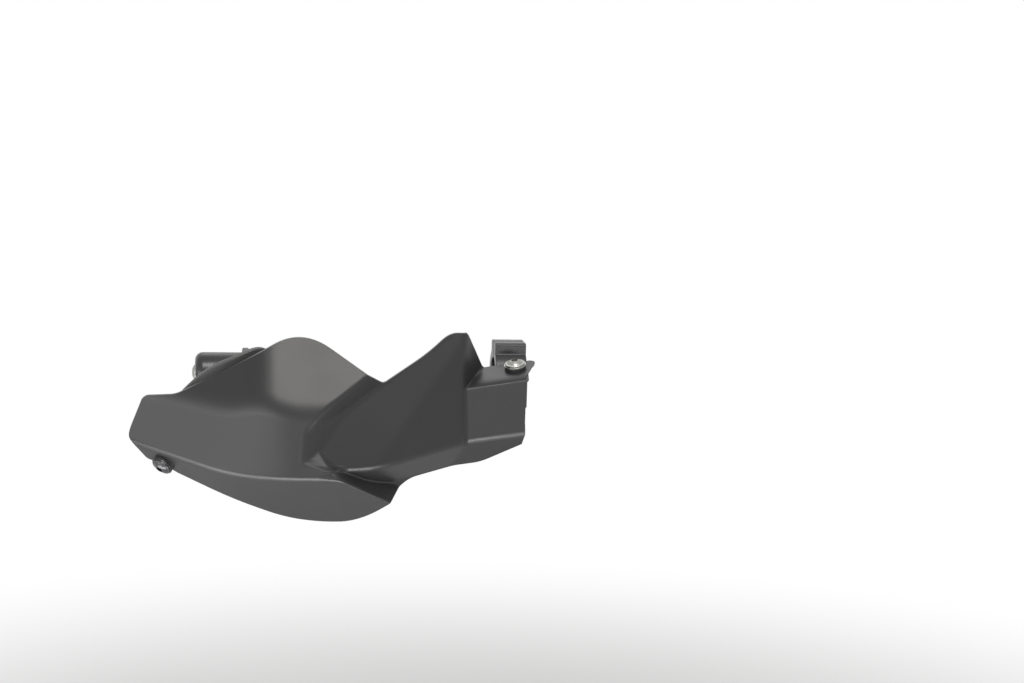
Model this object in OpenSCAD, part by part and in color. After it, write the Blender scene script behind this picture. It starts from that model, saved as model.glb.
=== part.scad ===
// Left hand guard for a motorcycle handlebar, in millimetres.
// The origin is the centre of the handlebar clamp, on the axis of the bar.
// +X runs inboard along the bar, +Y to the rider and +Z up.
// The moulded shell is a height field: every face of it is a plane that gives how far
// forward of the bar the skin lies over a point (x, z), and the faces meet in soft edges.

/* [Shell reach] */
// Distance from the clamp out to the tip of the shell
tip_reach = 244; // [236:1:252]
// Distance from the clamp in to the front inner edge of the shell
inner_reach = 5; // [0:0.5:8]
// How much further in the shell ends at its rear inner edge
inner_rake = 10; // [6:1:14]
// Height of the rounded peak above the bar axis
peak_height = 32.8; // [28:0.2:38]
// Place of the peak, out from the clamp
peak_out = 138.4; // [132:0.2:143]
// Depth of the lowest point of the rim below the bar axis
rim_drop = 86.5; // [80:0.5:92]
// Wall of the moulding
wall = 3; // [2.5:0.1:3.4]
// Rounding of the moulded edges
edge_blend = 3.5; // [2:0.5:5]

/* [Palm face] */
// How far the palm face stands forward of the bar axis
palm_forward = 98.5; // [92:0.5:104]
// How far the tip stands forward of the bar axis
tip_forward = 40; // [36:0.5:44]
// Angle at which the tip sweeps back
tip_sweep = 36; // [32:0.5:39]
// Length of the soft bend between the palm and the tip
sweep_blend = 20; // [12:1:26]
// Height of the crease under the brow
brow_height = -9.5; // [-14:0.5:-5]
// Lean of the brow, back from upright
brow_lean = 32; // [26:0.5:38]
// Height of the chin crease along the palm
chin_height = -51; // [-54:0.5:-48]
// Forward run of the under face for each millimetre that it drops
under_slope = 1.3; // [1.1:0.05:1.5]

/* [Wing face] */
// How far the wing face stands forward at its lower outer corner
wing_forward = 92; // [88:0.5:95]
// Angle at which the wing sweeps back
wing_sweep = 17; // [14:0.5:20]
// Lean of the wing, back from upright
wing_lean = 12; // [9:0.5:15]
// Angle of the ridge across the wing
ridge_angle = 53; // [48:1:58]
// Fall of the wing behind its ridge
ridge_fall = 0.4; // [0.3:0.02:0.5]
// Height of the wing above the bar axis
wing_height = 33.5; // [30:0.5:37]

/* [Ledge] */
// How far the front of the ledge stands forward of the bar axis
ledge_forward = 50; // [48:0.5:53]
// How far the rear edge of the ledge stands forward of the bar axis
ledge_rear = 24; // [22:0.5:27]
// Place of the side wall that rises from the ledge to the wing
side_wall_out = 33; // [30:0.5:36]
// Height of the front edge of the ledge, above the middle of the clamp
ledge_height = 4.8; // [3:0.1:6]
// Rise of the ledge towards its rear, for each millimetre of depth
ledge_pitch = 0.24; // [0.2:0.01:0.3]

/* [Handlebar] */
// Diameter of the bar that the clamp holds
bar_d = 22.2; // [22:0.1:25.4]
// Bore of the bar tube at its end
bar_bore_d = 14; // [13:0.5:16]
// Distance from the clamp to the end of the bar
bar_end = 168; // [160:1:172]

/* [Bar end] */
// Diameter of the bar end weight
weight_d = 25.5; // [24:0.5:28]
// Length of the bar end weight
weight_length = 30; // [24:1:34]
// Rounding of the outer edge of the weight
weight_round = 5; // [3:0.5:6]
// Diameter of the bracket's eye
eye_d = 31.5; // [29:0.5:34]
// Thickness of the bracket
strap_thick = 4; // [3:0.5:5]
// Width of the bracket's strap
strap_width = 18; // [15:1:20]
// Length of the rubber sleeve that grips the bar
sleeve_length = 24; // [18:1:30]
// Length of the cone nut behind the sleeve
cone_length = 11; // [9:1:14]

/* [Clamp] */
// Width of the clamp along the bar
clamp_width = 20; // [16:1:24]
// Metal of the clamp above and below the middles of its screws
clamp_lip = 5.8; // [5:0.2:8]
// Distance from the bar axis to the front face of the clamp
clamp_front_depth = 20; // [18:0.5:21]
// Gap between the two halves of the clamp
clamp_gap = 1; // [0.6:0.1:2]
// Thickness of the arm
arm_thick = 4; // [3:0.5:4.5]
// Width of the arm
arm_width = 16; // [14:1:17]
// Drop of the arm's foot down the front of the clamp
arm_foot = 22; // [21:0.5:23]
// Half depth of the clamp's ears
ear_depth = 10; // [8:0.5:12]
// Metal around the bar in the clamp
clamp_ring = 6.4; // [5:0.2:7]

/* [Fasteners] */
// Thread of every screw
thread_d = 6; // [5:0.5:6]
// Diameter of the flanged heads that show on the shell
flange_head_d = 12.6; // [12:0.1:13.6]
// Diameter of the plain button heads
button_head_d = 10.5; // [10:0.1:11]
// Height of the button heads
head_height = 3.3; // [2.8:0.1:3.6]
// Diameter of the washers under the flanged heads
washer_d = 14; // [13.6:0.2:15]
// Thickness of the washers
washer_thick = 1; // [0.8:0.1:1.6]
// Thickness of the rubber between the shell and the metal
rubber_thick = 1.4; // [1:0.1:1.8]
// Diameter of the rubber's rim
rubber_d = 13.4; // [12:0.2:15]
// Width of the nuts across their flats
nut_flats = 10; // [9:0.5:10]
// Height of the nuts
nut_height = 6; // [5:0.5:7]
// Clearance of a screw in its hole
hole_clear = 0.4; // [0.2:0.1:0.6]
// Distance of the tip screw in from the tip of the shell
tip_screw_in = 22.6; // [21:0.2:25]
// Place of the tip screw, below the chin crease
tip_screw_drop = 7.6; // [7:0.1:8]
// Place of the ledge screw, forward of the bar axis
ledge_screw_forward = 33; // [32.5:0.5:37]

/* [Hidden] */
$fn = 64;
moulded = [0.17, 0.17, 0.17];
steel = [0.34, 0.34, 0.35];
coated = [0.24, 0.24, 0.25];
rubber = [0.1, 0.1, 0.1];
cast = [0.4, 0.4, 0.42];

// Soft minimum and maximum: two faces that meet are rounded over a height k
function smin(a, b, k) = min(a, b) - pow(max(k - abs(a - b), 0), 2) / (4 * k);
function smax(a, b, k) = -smin(-a, -b, k);
function unit(v) = v / norm(v);
function mix(a, b, t) = a + (b - a) * t;

// Outline of the shell seen from the front. Each stretch is a straight line, given by the
// place (x, z) of a point on it and its rise for each millimetre inboard
function on_line(line, x) = line[1] + line[2] * (x - line[0]);
peak_round = 22;
peak_corner = peak_height + peak_round / 4;
tip_top = [32 - tip_reach, -4.4, 0.15];
tip_corner = [9 - tip_reach, -9, 1.3];
ramp = [-peak_out, peak_corner, 0.565];
descent = [-peak_out, peak_corner, -0.66];
valley = [-87.5, on_line(descent, -87.5)];
wing_slope = [valley[0], valley[1], 0.6];
wing_shoulder = [-58.4, wing_height - 11.3, 0.85];
wing_top = [-38, wing_height, -0.06];
gusset = [1.8 - side_wall_out, wing_height - 3.5, -1.9];
bowl_outer = [12 - tip_reach, -49, -0.39];
bowl_inner = [-74, -63.4, 0.9];
wing_hem = [-68.7, -59.2, 0.14];
ledge_hem = [inner_reach, -38.6, 0.545];
tip_ramp_round = 1.5;
tip_corner_round = 2.5;
wing_top_round = 5;
valley_round = 2.5;
bowl_round = 8;
hem_bend = 12;
function palm_rim(x) = smin(smax(on_line(ramp, x), smin(on_line(tip_top, x), on_line(tip_corner, x),
    tip_corner_round), tip_ramp_round), on_line(descent, x), peak_round);
function wing_rim(x) = smin(smin(smax(on_line(wing_slope, x), on_line(wing_shoulder, x), 2),
    on_line(wing_top, x), wing_top_round), on_line(gusset, x), 2);
function ledge_rim(x) = on_line(ledge_edge, x) + (ledge_forward - ledge_rear) * ledge_pitch;
function top_rim(x) = max(smax(palm_rim(x), wing_rim(x), valley_round),
    x > -side_wall_out ? ledge_rim(x) : -tip_reach);
function inner_hem(x) = smin(on_line(bowl_inner, x),
    smax(on_line(wing_hem, x), on_line(ledge_hem, x), 2), 5);
function low_rim(x) = smax(smax(on_line(bowl_outer, x), -rim_drop, bowl_round), inner_hem(x), hem_bend);

// End of the tip, seen from the front: a leaning line above, an upright one, and a cut corner
tip_end_lean = 0.37;
tip_end_round = 2.5;
tip_cut = [3 - tip_reach, -38.4, 0.85];
function tip_end_upper(z) = smax(tip_corner[0] + tip_end_lean * (z - tip_corner[1]), -tip_reach,
    tip_end_round);
function tip_end(z) = smax(tip_end_upper(z), tip_cut[0] + tip_cut[2] * (tip_cut[1] - z), tip_end_round);

// Crease lines across the shell
tip_chin = [3 - tip_reach, -38.4, -0.215];
wing_chin_floor = -46.3;
wing_chin_line = [-86.4, -46, 0.183];
ledge_chin = [4, -31.7, 0.128];
tip_brow = [40 - tip_reach, brow_height + 3, -0.13];
ledge_edge = [0, ledge_height, 0.158];
chin_bend = 3;
function palm_chin(x) = smax(chin_height, on_line(tip_chin, x), chin_bend);
function wing_chin(x) = smax(wing_chin_floor, smin(on_line(wing_chin_line, x), on_line(ledge_chin, x), 2),
    chin_bend);
function brow(x) = smax(brow_height, on_line(tip_brow, x), 2);

// Faces. Each is a plane, given by a place (x, z) on it, how far forward it lies there, and
// how that changes for each millimetre inboard and for each millimetre up
function on_plane(plane, x, z) = plane[2] + plane[3] * (x - plane[0]) + plane[4] * (z - plane[1]);
// How far a point lies past a line [x, z, angle], to its lower right
function past_line(line, x, z) = sin(line[2]) * (x - line[0]) - cos(line[2]) * (z - line[1]);

// Palm: tip, front, brow and under face
tip_face = [-tip_reach, 0, tip_forward, tan(tip_sweep), 0];
palm_face = [-peak_out, 0, palm_forward, 0.02, 0];
shoulder_blend = 8;
brow_blend = 5;
function palm_bend(x, z, k) = smin(on_plane(tip_face, x, z), on_plane(palm_face, x, z), k);
function palm_brow(x, z) = palm_bend(x, z, shoulder_blend) - tan(brow_lean) * (z - brow(x));
function palm_under(x, z) = palm_bend(x, z, sweep_blend) + under_slope * (z - palm_chin(x));
function palm(x, z) = smin(smin(palm_bend(x, z, sweep_blend), palm_brow(x, z), brow_blend),
    palm_under(x, z), edge_blend);

// Wing: outer face, inner face past the ridge, side wall and under face
wing_plane = [-116, -47, wing_forward, -tan(wing_sweep), -tan(wing_lean)];
ridge = [-84.5, -41.9, ridge_angle];
ridge_blend = 2.5;
side_plane = [-side_wall_out, 0, ledge_forward, -2, 0];
side_blend = 6;
function wing_face(x, z) = smin(on_plane(wing_plane, x, z),
    on_plane(wing_plane, x, z) - ridge_fall * past_line(ridge, x, z), ridge_blend);
function wing_under(x, z) = wing_face(x, z) + under_slope * (z - wing_chin(x));
function wing(x, z) = smin(smin(wing_face(x, z), wing_under(x, z), edge_blend),
    on_plane(side_plane, x, z), side_blend);

// Step down from the palm to the wing: upper and lower part, foot and corner facet
upper_edge = [valley[0], valley[1], 34];
upper_fall = 1.03;
lower_edge = [-121.3, -21.6, 56];
lower_fall = 0.47;
heel_plane = [-97, -68.1, 76.3, -2, 0.35];
sole_plane = [-101.2, -59.5, 74.7, -1.15, -0.47];
toe_plane = [-116, -52, 99, 0, -2];
facet_plane = [-129, -32.5, 92.5, -0.247, -0.496];
facet_edge = [-129, -32.5, -54];
facet_base = [-137.4, -40.6, -0.27];
toe_edge = [-120.6, -45.6, 35];
toe_fall = 1.6;
facet_blend = 2.5;
function step_band(x, z) = smax(on_plane(wing_plane, x, z) - upper_fall * past_line(upper_edge, x, z),
    on_plane(wing_plane, x, z) - lower_fall * past_line(lower_edge, x, z), 2);
function step_foot(x, z) = smin(smin(on_plane(sole_plane, x, z), on_plane(heel_plane, x, z), 2),
    on_plane(toe_plane, x, z), 2);
function facet(x, z) = on_plane(facet_plane, x, z);
function facet_above(x, z) = facet(x, z)
    + smin(0, toe_fall * past_line(facet_edge, x, z), facet_blend);
function facet_below(x, z) = smin(facet(x, z) + toe_fall * (on_line(facet_base, x) - z),
    palm_forward - toe_fall * past_line(toe_edge, x, z), facet_blend);
function step_corner(x, z) = smax(facet_above(x, z), facet_below(x, z), facet_blend);
function step(x, z) = smax(smax(step_band(x, z), step_foot(x, z), 2), step_corner(x, z), 1.5);

// Ledge: front, top, under face, and the plane that ends it inside the wing
ledge_plane = [0, 0, ledge_forward, 0, 0.06];
ledge_end_plane = [-side_wall_out, 0, ledge_forward + 4, 0.9, 0];
ledge_edge_round = 12;
function ledge_top(x, z) = ledge_forward - (z - on_line(ledge_edge, x)) / ledge_pitch;
function ledge_under(x, z) = on_plane(ledge_plane, x, z) + z - wing_chin(x);
function ledge(x, z) = smin(smin(smin(on_plane(ledge_plane, x, z), ledge_top(x, z), ledge_edge_round),
    ledge_under(x, z), edge_blend), on_plane(ledge_end_plane, x, z), 1);

// Forward distance of the outer and the inner skin over a point
function outer_skin(x, z) = smax(smin(palm(x, z), smax(step(x, z), wing(x, z), 2), 3), ledge(x, z), 2);
slope_span = 0.8;
function slope_x(x, z) = (outer_skin(x + slope_span, z) - outer_skin(x - slope_span, z)) / (2 * slope_span);
function slope_z(x, z) = (outer_skin(x, z + slope_span) - outer_skin(x, z - slope_span)) / (2 * slope_span);
function inner_skin(x, z, h) = h - wall * norm([1, slope_x(x, z), slope_z(x, z)]);

// The grid. Its columns follow the creases: each line gives x at the levels rim, brow, elbow,
// middle, corner, chin, foot and hem, and the number of columns from it to the next line
wing_edge = -side_wall_out;
columns = [
    [[tip_corner[0], 7 - tip_reach, 4 - tip_reach, 1 - tip_reach, 1 - tip_reach, 3 - tip_reach,
        7 - tip_reach, 12 - tip_reach], 7],
    [[32 - tip_reach, 30 - tip_reach, 29 - tip_reach, 28 - tip_reach, 28 - tip_reach, 28 - tip_reach,
        29 - tip_reach, 31 - tip_reach], 11],
    [[-161, -160, -160, -160, -160, -160, -159, -158], 5],
    [[-106, -133, -141, -145, -145, -139, -118, -105], 4],
    [[-98, -125, -133.3, -137.2, -137.2, -129.5, -107, -95], 9],
    [[valley[0], -108, -119.2, -127.6, -123.9, -116.5, -97, -78], 11],
    [[wing_edge - 1, -62, -69.9, -75.9, -81.2, -86, -76, -64], 9],
    [[wing_edge + 1.3, wing_edge, wing_edge + 0.5, wing_edge + 1, wing_edge + 1.5, wing_edge + 2,
        wing_edge + 2.5, wing_edge + 3], 4],
    [[wing_edge + 14, wing_edge + 1.5, wing_edge + 5, wing_edge + 9, wing_edge + 10, wing_edge + 11,
        wing_edge + 11.5, wing_edge + 12], 7],
    [[inner_reach + inner_rake, inner_reach, inner_reach, inner_reach, inner_reach, inner_reach + 0.5,
        inner_reach, inner_reach - 0.5], 0]];
lead = [for (c = [0 : len(columns) - 2]) for (i = [0 : columns[c][1] - 1]) c + i / columns[c][1]];
across = concat(lead, [len(columns) - 1]);
down = [0, 0.08, 0.25, 0.5, 0.75, 0.9, 1, 1.12, 1.3, 1.6, 2, 2.25, 2.5, 2.75, 3, 3.25, 3.5, 3.75,
    4, 4.2, 4.4, 4.6, 4.75, 4.87, 4.96, 5.04, 5.12, 5.3, 5.5, 5.75, 6, 6.3, 6.6, 6.85, 7];
hem_level = 7;
level_share = [0, 0, 0.28, 0.55, 0.77, 1, 0.42, 1];
function level_x(c, level) = mix(columns[floor(c)][0][level],
    columns[min(floor(c) + 1, len(columns) - 1)][0][level], c - floor(c));
function over(x, a, b) = min(max((x - a) / (b - a), 0), 1);
function brow_z(x) = min(mix(brow(x), on_line(ledge_edge, x), over(x, -62, wing_edge)), top_rim(x) - 3);
function chin_z(x) = mix(palm_chin(x), wing_chin(x), over(x, -130, -119));
function level_z(x, level) =
    level == 0 ? top_rim(x) :
    level <= 5 ? mix(brow_z(x), chin_z(x), level_share[level]) :
    mix(chin_z(x), low_rim(x), level_share[level]);
function grid_point(c, r) = let (a = min(floor(r), hem_level - 1))
    let (xa = level_x(c, a), xb = level_x(c, a + 1))
    let (x = mix(xa, xb, r - a), z = mix(level_z(xa, a), level_z(xb, a + 1), r - a))
    let (end_x = mix(columns[0][0][a], columns[0][0][a + 1], r - a))
    [x + (tip_end(z) - end_x) * max(1 - c, 0), z];
function skin_points() = [for (c = across) for (r = down) let (p = grid_point(c, r))
    [p[0], -outer_skin(p[0], p[1]), p[1]]];
// Under the rear edge of the ledge the lining is drawn down, so that this edge ends square
edge_ramp = 14;
function edge_drop(x, r) = wall * max(1 - r, 0) * over(x, wing_edge, wing_edge + edge_ramp);
function lining_points() = [for (c = across) for (r = down)
    let (p = grid_point(c, r), z = p[1] - edge_drop(p[0], r))
    [p[0], -inner_skin(p[0], z, outer_skin(p[0], z)), z]];

module skin_solid() {
    rows = len(down);
    cols = len(across);
    half = rows * cols;
    skin = skin_points();
    // Each cell is cut along the diagonal that lies closer to the true face
    outer = [for (i = [0 : cols - 2]) for (j = [0 : rows - 2])
        let (a = i * rows + j, b = a + rows, c = b + 1, d = a + 1)
        let (m = (skin[a] + skin[b] + skin[c] + skin[d]) / 4)
        let (true_y = -outer_skin(m[0], m[2]))
        let (along = abs((skin[a][1] + skin[c][1]) / 2 - true_y))
        let (other = abs((skin[b][1] + skin[d][1]) / 2 - true_y))
        each along < other ? [[a, b, c], [a, c, d]] : [[a, b, d], [b, c, d]]];
    inner = [for (f = outer) [f[0] + half, f[2] + half, f[1] + half]];
    ends = [for (j = [0 : rows - 2]) for (s = [0, 1]) let (a = s * (cols - 1) * rows + j)
        each s == 0 ? [[a, a + 1, a + 1 + half], [a, a + 1 + half, a + half]]
                    : [[a, a + half, a + 1 + half], [a, a + 1 + half, a + 1]]];
    edges = [for (i = [0 : cols - 2]) for (s = [0, 1]) let (a = i * rows + s * (rows - 1))
        each s == 0 ? [[a, a + half, a + rows + half], [a, a + rows + half, a + rows]]
                    : [[a, a + rows, a + rows + half], [a, a + rows + half, a + half]]];
    polyhedron(concat(skin, lining_points()), concat(outer, inner, ends, edges), convexity = 8);
}

// Seats of the two screws that hold the shell: a point on the skin and its outward normal
function normal_at(x, z) = unit([-slope_x(x, z), -1, -slope_z(x, z)]);
tip_screw_x = tip_screw_in - tip_reach;
tip_screw_z = palm_chin(tip_screw_x) - tip_screw_drop;
tip_seat = [tip_screw_x, -outer_skin(tip_screw_x, tip_screw_z), tip_screw_z];
tip_normal = normal_at(tip_screw_x, tip_screw_z);
ledge_screw_z = ledge_height + (ledge_forward - ledge_screw_forward) * ledge_pitch;
ledge_seat = [0, -ledge_screw_forward, ledge_screw_z];
ledge_normal = unit([-ledge_edge[2] / ledge_pitch, -1, 1 / ledge_pitch]);
seat_proud = 0.3;
seat_depth = wall + seat_proud;
boss_d = rubber_d + 0.6;
grommet_hole_d = thread_d + 3.6;
thread_gap = 0.05;

// Puts a piece on a seat with its own +Z along the seat's outward normal
module on_seat(seat, n) {
    translate(seat) rotate([0, acos(n[2]), atan2(n[1], n[0])]) children();
}
module on_tip_seat() {
    on_seat(tip_seat, tip_normal) children();
}
module on_ledge_seat() {
    on_seat(ledge_seat, ledge_normal) children();
}

module guard_shell() {
    color(moulded) difference() {
        union() {
            skin_solid();
            on_tip_seat() boss();
            on_ledge_seat() boss();
        }
        on_tip_seat() boss_cuts();
        on_ledge_seat() boss_cuts();
    }
}
module boss() {
    translate([0, 0, -seat_depth - 1]) cylinder(d = boss_d, h = seat_depth + seat_proud + 2);
}
// The hole for the grommet, and flat faces for its two rims
module boss_cuts() {
    translate([0, 0, -2 * seat_depth]) cylinder(d = grommet_hole_d, h = 4 * seat_depth);
    translate([0, 0, seat_proud]) cylinder(d = boss_d + 1, h = seat_depth);
    translate([0, 0, -2 * seat_depth]) cylinder(d = boss_d + 1, h = seat_depth);
}

// Fasteners. Each stands on z = 0 with its head up and its shank down
module hex_socket(top) {
    translate([0, 0, top - 2]) cylinder(d = thread_d * 0.77, h = 3, $fn = 6);
}
module button_screw(shank) {
    difference() {
        union() {
            rotate_extrude() intersection() {
                square([button_head_d / 2, head_height]);
                translate([0, head_height - button_head_d * 0.72]) circle(r = button_head_d * 0.72);
            }
            translate([0, 0, -shank]) cylinder(d = thread_d, h = shank);
        }
        hex_socket(head_height);
    }
}
module flanged_screw(shank) {
    flange = 1.1;
    difference() {
        union() {
            cylinder(d = flange_head_d, h = flange);
            rotate_extrude() intersection() {
                square([flange_head_d * 0.4, head_height]);
                translate([0, head_height - button_head_d * 0.62]) circle(r = button_head_d * 0.62);
            }
            translate([0, 0, -shank]) cylinder(d = thread_d, h = shank);
        }
        hex_socket(head_height);
    }
}
module flat_washer(d, thick) {
    difference() {
        cylinder(d = d, h = thick);
        translate([0, 0, -1]) cylinder(d = thread_d + hole_clear, h = thick + 2);
    }
}
module grommet() {
    difference() {
        union() {
            translate([0, 0, -seat_depth]) cylinder(d = grommet_hole_d - 0.1, h = seat_depth + seat_proud);
            translate([0, 0, -seat_depth - rubber_thick]) cylinder(d = rubber_d, h = rubber_thick);
            translate([0, 0, seat_proud]) cylinder(d = rubber_d, h = rubber_thick);
        }
        translate([0, 0, -seat_depth - rubber_thick - 1])
            cylinder(d = thread_d + hole_clear, h = seat_depth + seat_proud + 2 * rubber_thick + 2);
    }
}
module flanged_nut() {
    flange = 1.4;
    difference() {
        union() {
            translate([0, 0, -nut_height]) cylinder(d = nut_flats / cos(30), h = nut_height, $fn = 6);
            translate([0, 0, -flange]) cylinder(d = nut_flats + 3, h = flange);
        }
        translate([0, 0, -nut_height - 1]) cylinder(d = thread_d + 2 * thread_gap, h = nut_height + 2);
    }
}

// Heights along each seat's normal, from the outer skin
plate_top = -seat_depth - rubber_thick;
washer_seat = seat_proud + rubber_thick;
head_seat = washer_seat + washer_thick;

module tip_screw() {
    color(steel) on_tip_seat() translate([0, 0, head_seat])
        flanged_screw(head_seat - plate_top + strap_thick + nut_height + 1);
}
module tip_washer() {
    color(steel) on_tip_seat() translate([0, 0, washer_seat]) flat_washer(washer_d, washer_thick);
}
module tip_grommet() {
    color(rubber) on_tip_seat() grommet();
}
module tip_nut() {
    color(steel) on_tip_seat() translate([0, 0, plate_top - strap_thick]) flanged_nut();
}
module ledge_screw() {
    color(steel) on_ledge_seat() translate([0, 0, head_seat])
        flanged_screw(head_seat - plate_top + arm_thick + nut_height + 1);
}
module ledge_washer() {
    color(steel) on_ledge_seat() translate([0, 0, washer_seat]) flat_washer(washer_d, washer_thick);
}
module ledge_grommet() {
    color(rubber) on_ledge_seat() grommet();
}
module ledge_nut() {
    color(steel) on_ledge_seat() translate([0, 0, plate_top - arm_thick]) flanged_nut();
}

// The bracket at the bar end is one bent strap: an eye on the bar axis, an arm that runs
// forward, a bend, and a twisted leg down the inside of the tip to its foot
strap_middle = -bar_end - strap_thick / 2;
foot_centre = tip_seat + tip_normal * (plate_top - strap_thick / 2);
foot_run = unit([0, 0, -1] + tip_normal * tip_normal[2]);
// Stations of the strap: middle of the section, direction of its face, half its width
half_strap = strap_width / 2;
stations = [
    [[strap_middle, -3, 0], [1, 0, 0], half_strap],
    [[strap_middle, -16, 1.5], [1, 0, 0], half_strap],
    [[strap_middle + 1, -28, 5], [1, 0.05, 0], half_strap],
    [[strap_middle + 4, -40, 9.5], [1, 0.15, 0], half_strap],
    [[strap_middle + 7, -51, 14], [0.9, -0.4, -0.05], half_strap],
    [[strap_middle + 4, -57.5, 15.5], [0.35, -1, -0.15], half_strap],
    [[strap_middle - 6, -60, 12], [-0.15, -1, -0.35], half_strap - 0.5],
    [[strap_middle - 18, -58, 6], [-0.42, -0.85, -0.42], half_strap - 0.5],
    [[strap_middle - 28.5, -53.5, -3], [-0.52, -0.8, -0.45], half_strap - 0.5],
    [[strap_middle - 39.5, -48, -15], [-0.55, -0.75, -0.45], half_strap - 1.5],
    [foot_centre - foot_run * 12 + [1.2, 2, 0], [-0.55, -0.7, -0.45], half_strap - 3],
    [foot_centre, tip_normal, half_strap - 3],
    [foot_centre + foot_run * 3, tip_normal, half_strap - 4]];
function spline(a, b, c, d, t) = (2 * b + (c - a) * t + (2 * a - 5 * b + 4 * c - d) * t * t
    + (3 * b - a - 3 * c + d) * t * t * t) / 2;
function station(i, k) = stations[min(max(i, 0), len(stations) - 1)][k];
function along(t, k) = let (i = min(floor(t), len(stations) - 2))
    spline(station(i - 1, k), station(i, k), station(i + 1, k), station(i + 2, k), t - i);
strap_steps = 4;
strap_last = (len(stations) - 1) * strap_steps;
function strap_ring(i) = let (t = i / strap_steps, e = 0.02)
    let (middle = along(t, 0))
    let (travel = along(min(t + e, strap_last / strap_steps), 0) - along(max(t - e, 0), 0))
    let (face = unit(along(t, 1) - travel * (along(t, 1) * travel) / (travel * travel)))
    let (side = unit(cross(travel, face)) * along(t, 2), out = face * strap_thick / 2)
    [middle + side + out, middle - side + out, middle - side - out, middle + side - out];

module strap_sweep() {
    points = [for (i = [0 : strap_last]) each strap_ring(i)];
    walls = [for (i = [0 : strap_last - 1]) for (k = [0 : 3])
        let (a = i * 4 + k, b = i * 4 + (k + 1) % 4)
        each [[a, b, b + 4], [a, b + 4, a + 4]]];
    last = strap_last * 4;
    caps = [[0, 3, 2], [0, 2, 1], [last, last + 1, last + 2], [last, last + 2, last + 3]];
    polyhedron(points, concat(walls, caps), convexity = 6);
}

// Puts a piece on the bar axis with its own +Z running outboard from the bar's end
module on_bar_end() {
    translate([-bar_end, 0, 0]) rotate([0, -90, 0]) children();
}
module bar_end_bracket() {
    color(coated) difference() {
        union() {
            strap_sweep();
            on_bar_end() cylinder(d = eye_d, h = strap_thick);
            on_tip_seat() translate([0, 0, plate_top - strap_thick])
                cylinder(d = nut_flats + 3, h = strap_thick);
        }
        // The faces of the eye and of the foot are flat where other pieces bear on them
        on_bar_end() for (z = [-strap_thick, strap_thick]) translate([0, 0, z])
            cylinder(d = eye_d, h = strap_thick);
        on_tip_seat() for (z = [plate_top, plate_top - 2 * strap_thick]) translate([0, 0, z])
            cylinder(d = rubber_d + 1, h = strap_thick);
        on_bar_end() translate([0, 0, -1]) cylinder(d = thread_d + hole_clear, h = strap_thick + 2);
        on_tip_seat() translate([0, 0, plate_top - strap_thick - 1])
            cylinder(d = thread_d + hole_clear, h = strap_thick + 2);
    }
}

weight_recess = 1.2;
module bar_end_weight() {
    color(cast) on_bar_end() translate([0, 0, strap_thick]) difference() {
        rotate_extrude() {
            square([weight_d / 2 - weight_round, weight_length]);
            square([weight_d / 2, weight_length - weight_round]);
            translate([weight_d / 2 - weight_round, weight_length - weight_round])
                circle(r = weight_round);
        }
        translate([0, 0, -1]) cylinder(d = thread_d + hole_clear, h = weight_length + 2);
        translate([0, 0, weight_length - weight_recess])
            cylinder(d = button_head_d + 1, h = weight_recess + 1);
    }
}

// The expander behind the eye: washer, rubber sleeve and cone nut, in the bar's bore
expander_washer_thick = 1.5;
cone_nose = 4;
sleeve_end = -expander_washer_thick - sleeve_length;
bar_end_seat = strap_thick + weight_length - weight_recess;
module bar_end_screw() {
    color(steel) on_bar_end() translate([0, 0, bar_end_seat])
        button_screw(bar_end_seat - sleeve_end + cone_length + 1.5);
}
module expander_washer() {
    color(steel) on_bar_end() translate([0, 0, -expander_washer_thick])
        flat_washer(bar_bore_d - 1, expander_washer_thick);
}
module expander_sleeve() {
    color(rubber) on_bar_end() translate([0, 0, sleeve_end]) difference() {
        cylinder(d = bar_bore_d - 0.2, h = sleeve_length);
        translate([0, 0, -1]) cylinder(d = thread_d + hole_clear, h = sleeve_length + 2);
        cylinder(d1 = bar_bore_d - 2.8, d2 = thread_d + 2, h = cone_nose + 0.1);
    }
}
module expander_cone() {
    color(steel) on_bar_end() translate([0, 0, sleeve_end]) difference() {
        union() {
            translate([0, 0, -cone_length]) cylinder(d = bar_bore_d - 0.6, h = cone_length);
            cylinder(d1 = bar_bore_d - 3, d2 = thread_d + 1.8, h = cone_nose);
        }
        translate([0, 0, -cone_length - 1])
            cylinder(d = thread_d + 2 * thread_gap, h = cone_length + cone_nose + 2);
    }
}

// The clamp: two halves around the bar, closed from behind by two screws
clamp_web = 1.6;
clamp_screw_z = bar_d / 2 + thread_d / 2 + clamp_web;
clamp_height = 2 * (clamp_screw_z + clamp_lip);
clamp_screw_end = -ear_depth + 1.5;
clamp_washer_d = button_head_d + 0.5;
arm_foot_top = 4;
arm_screw_z = arm_foot_top - arm_foot + 7.5;
arm_screw_bite = 7;
module clamp_section() {
    corner = 2;
    difference() {
        union() {
            circle(d = bar_d + 2 * clamp_ring);
            square([2 * ear_depth, clamp_height - 2 * corner], center = true);
            square([2 * ear_depth - 2 * corner, clamp_height], center = true);
            for (y = [-1, 1], z = [-1, 1])
                translate([y * (ear_depth - corner), z * (clamp_height / 2 - corner)]) circle(r = corner);
            translate([-clamp_front_depth, arm_foot_top - arm_foot - 1])
                square([clamp_front_depth, arm_foot + 3]);
        }
        circle(d = bar_d);
    }
}
module clamp_body() {
    translate([-clamp_width / 2, 0, 0]) rotate([90, 0, 90]) linear_extrude(clamp_width) clamp_section();
}
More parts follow.
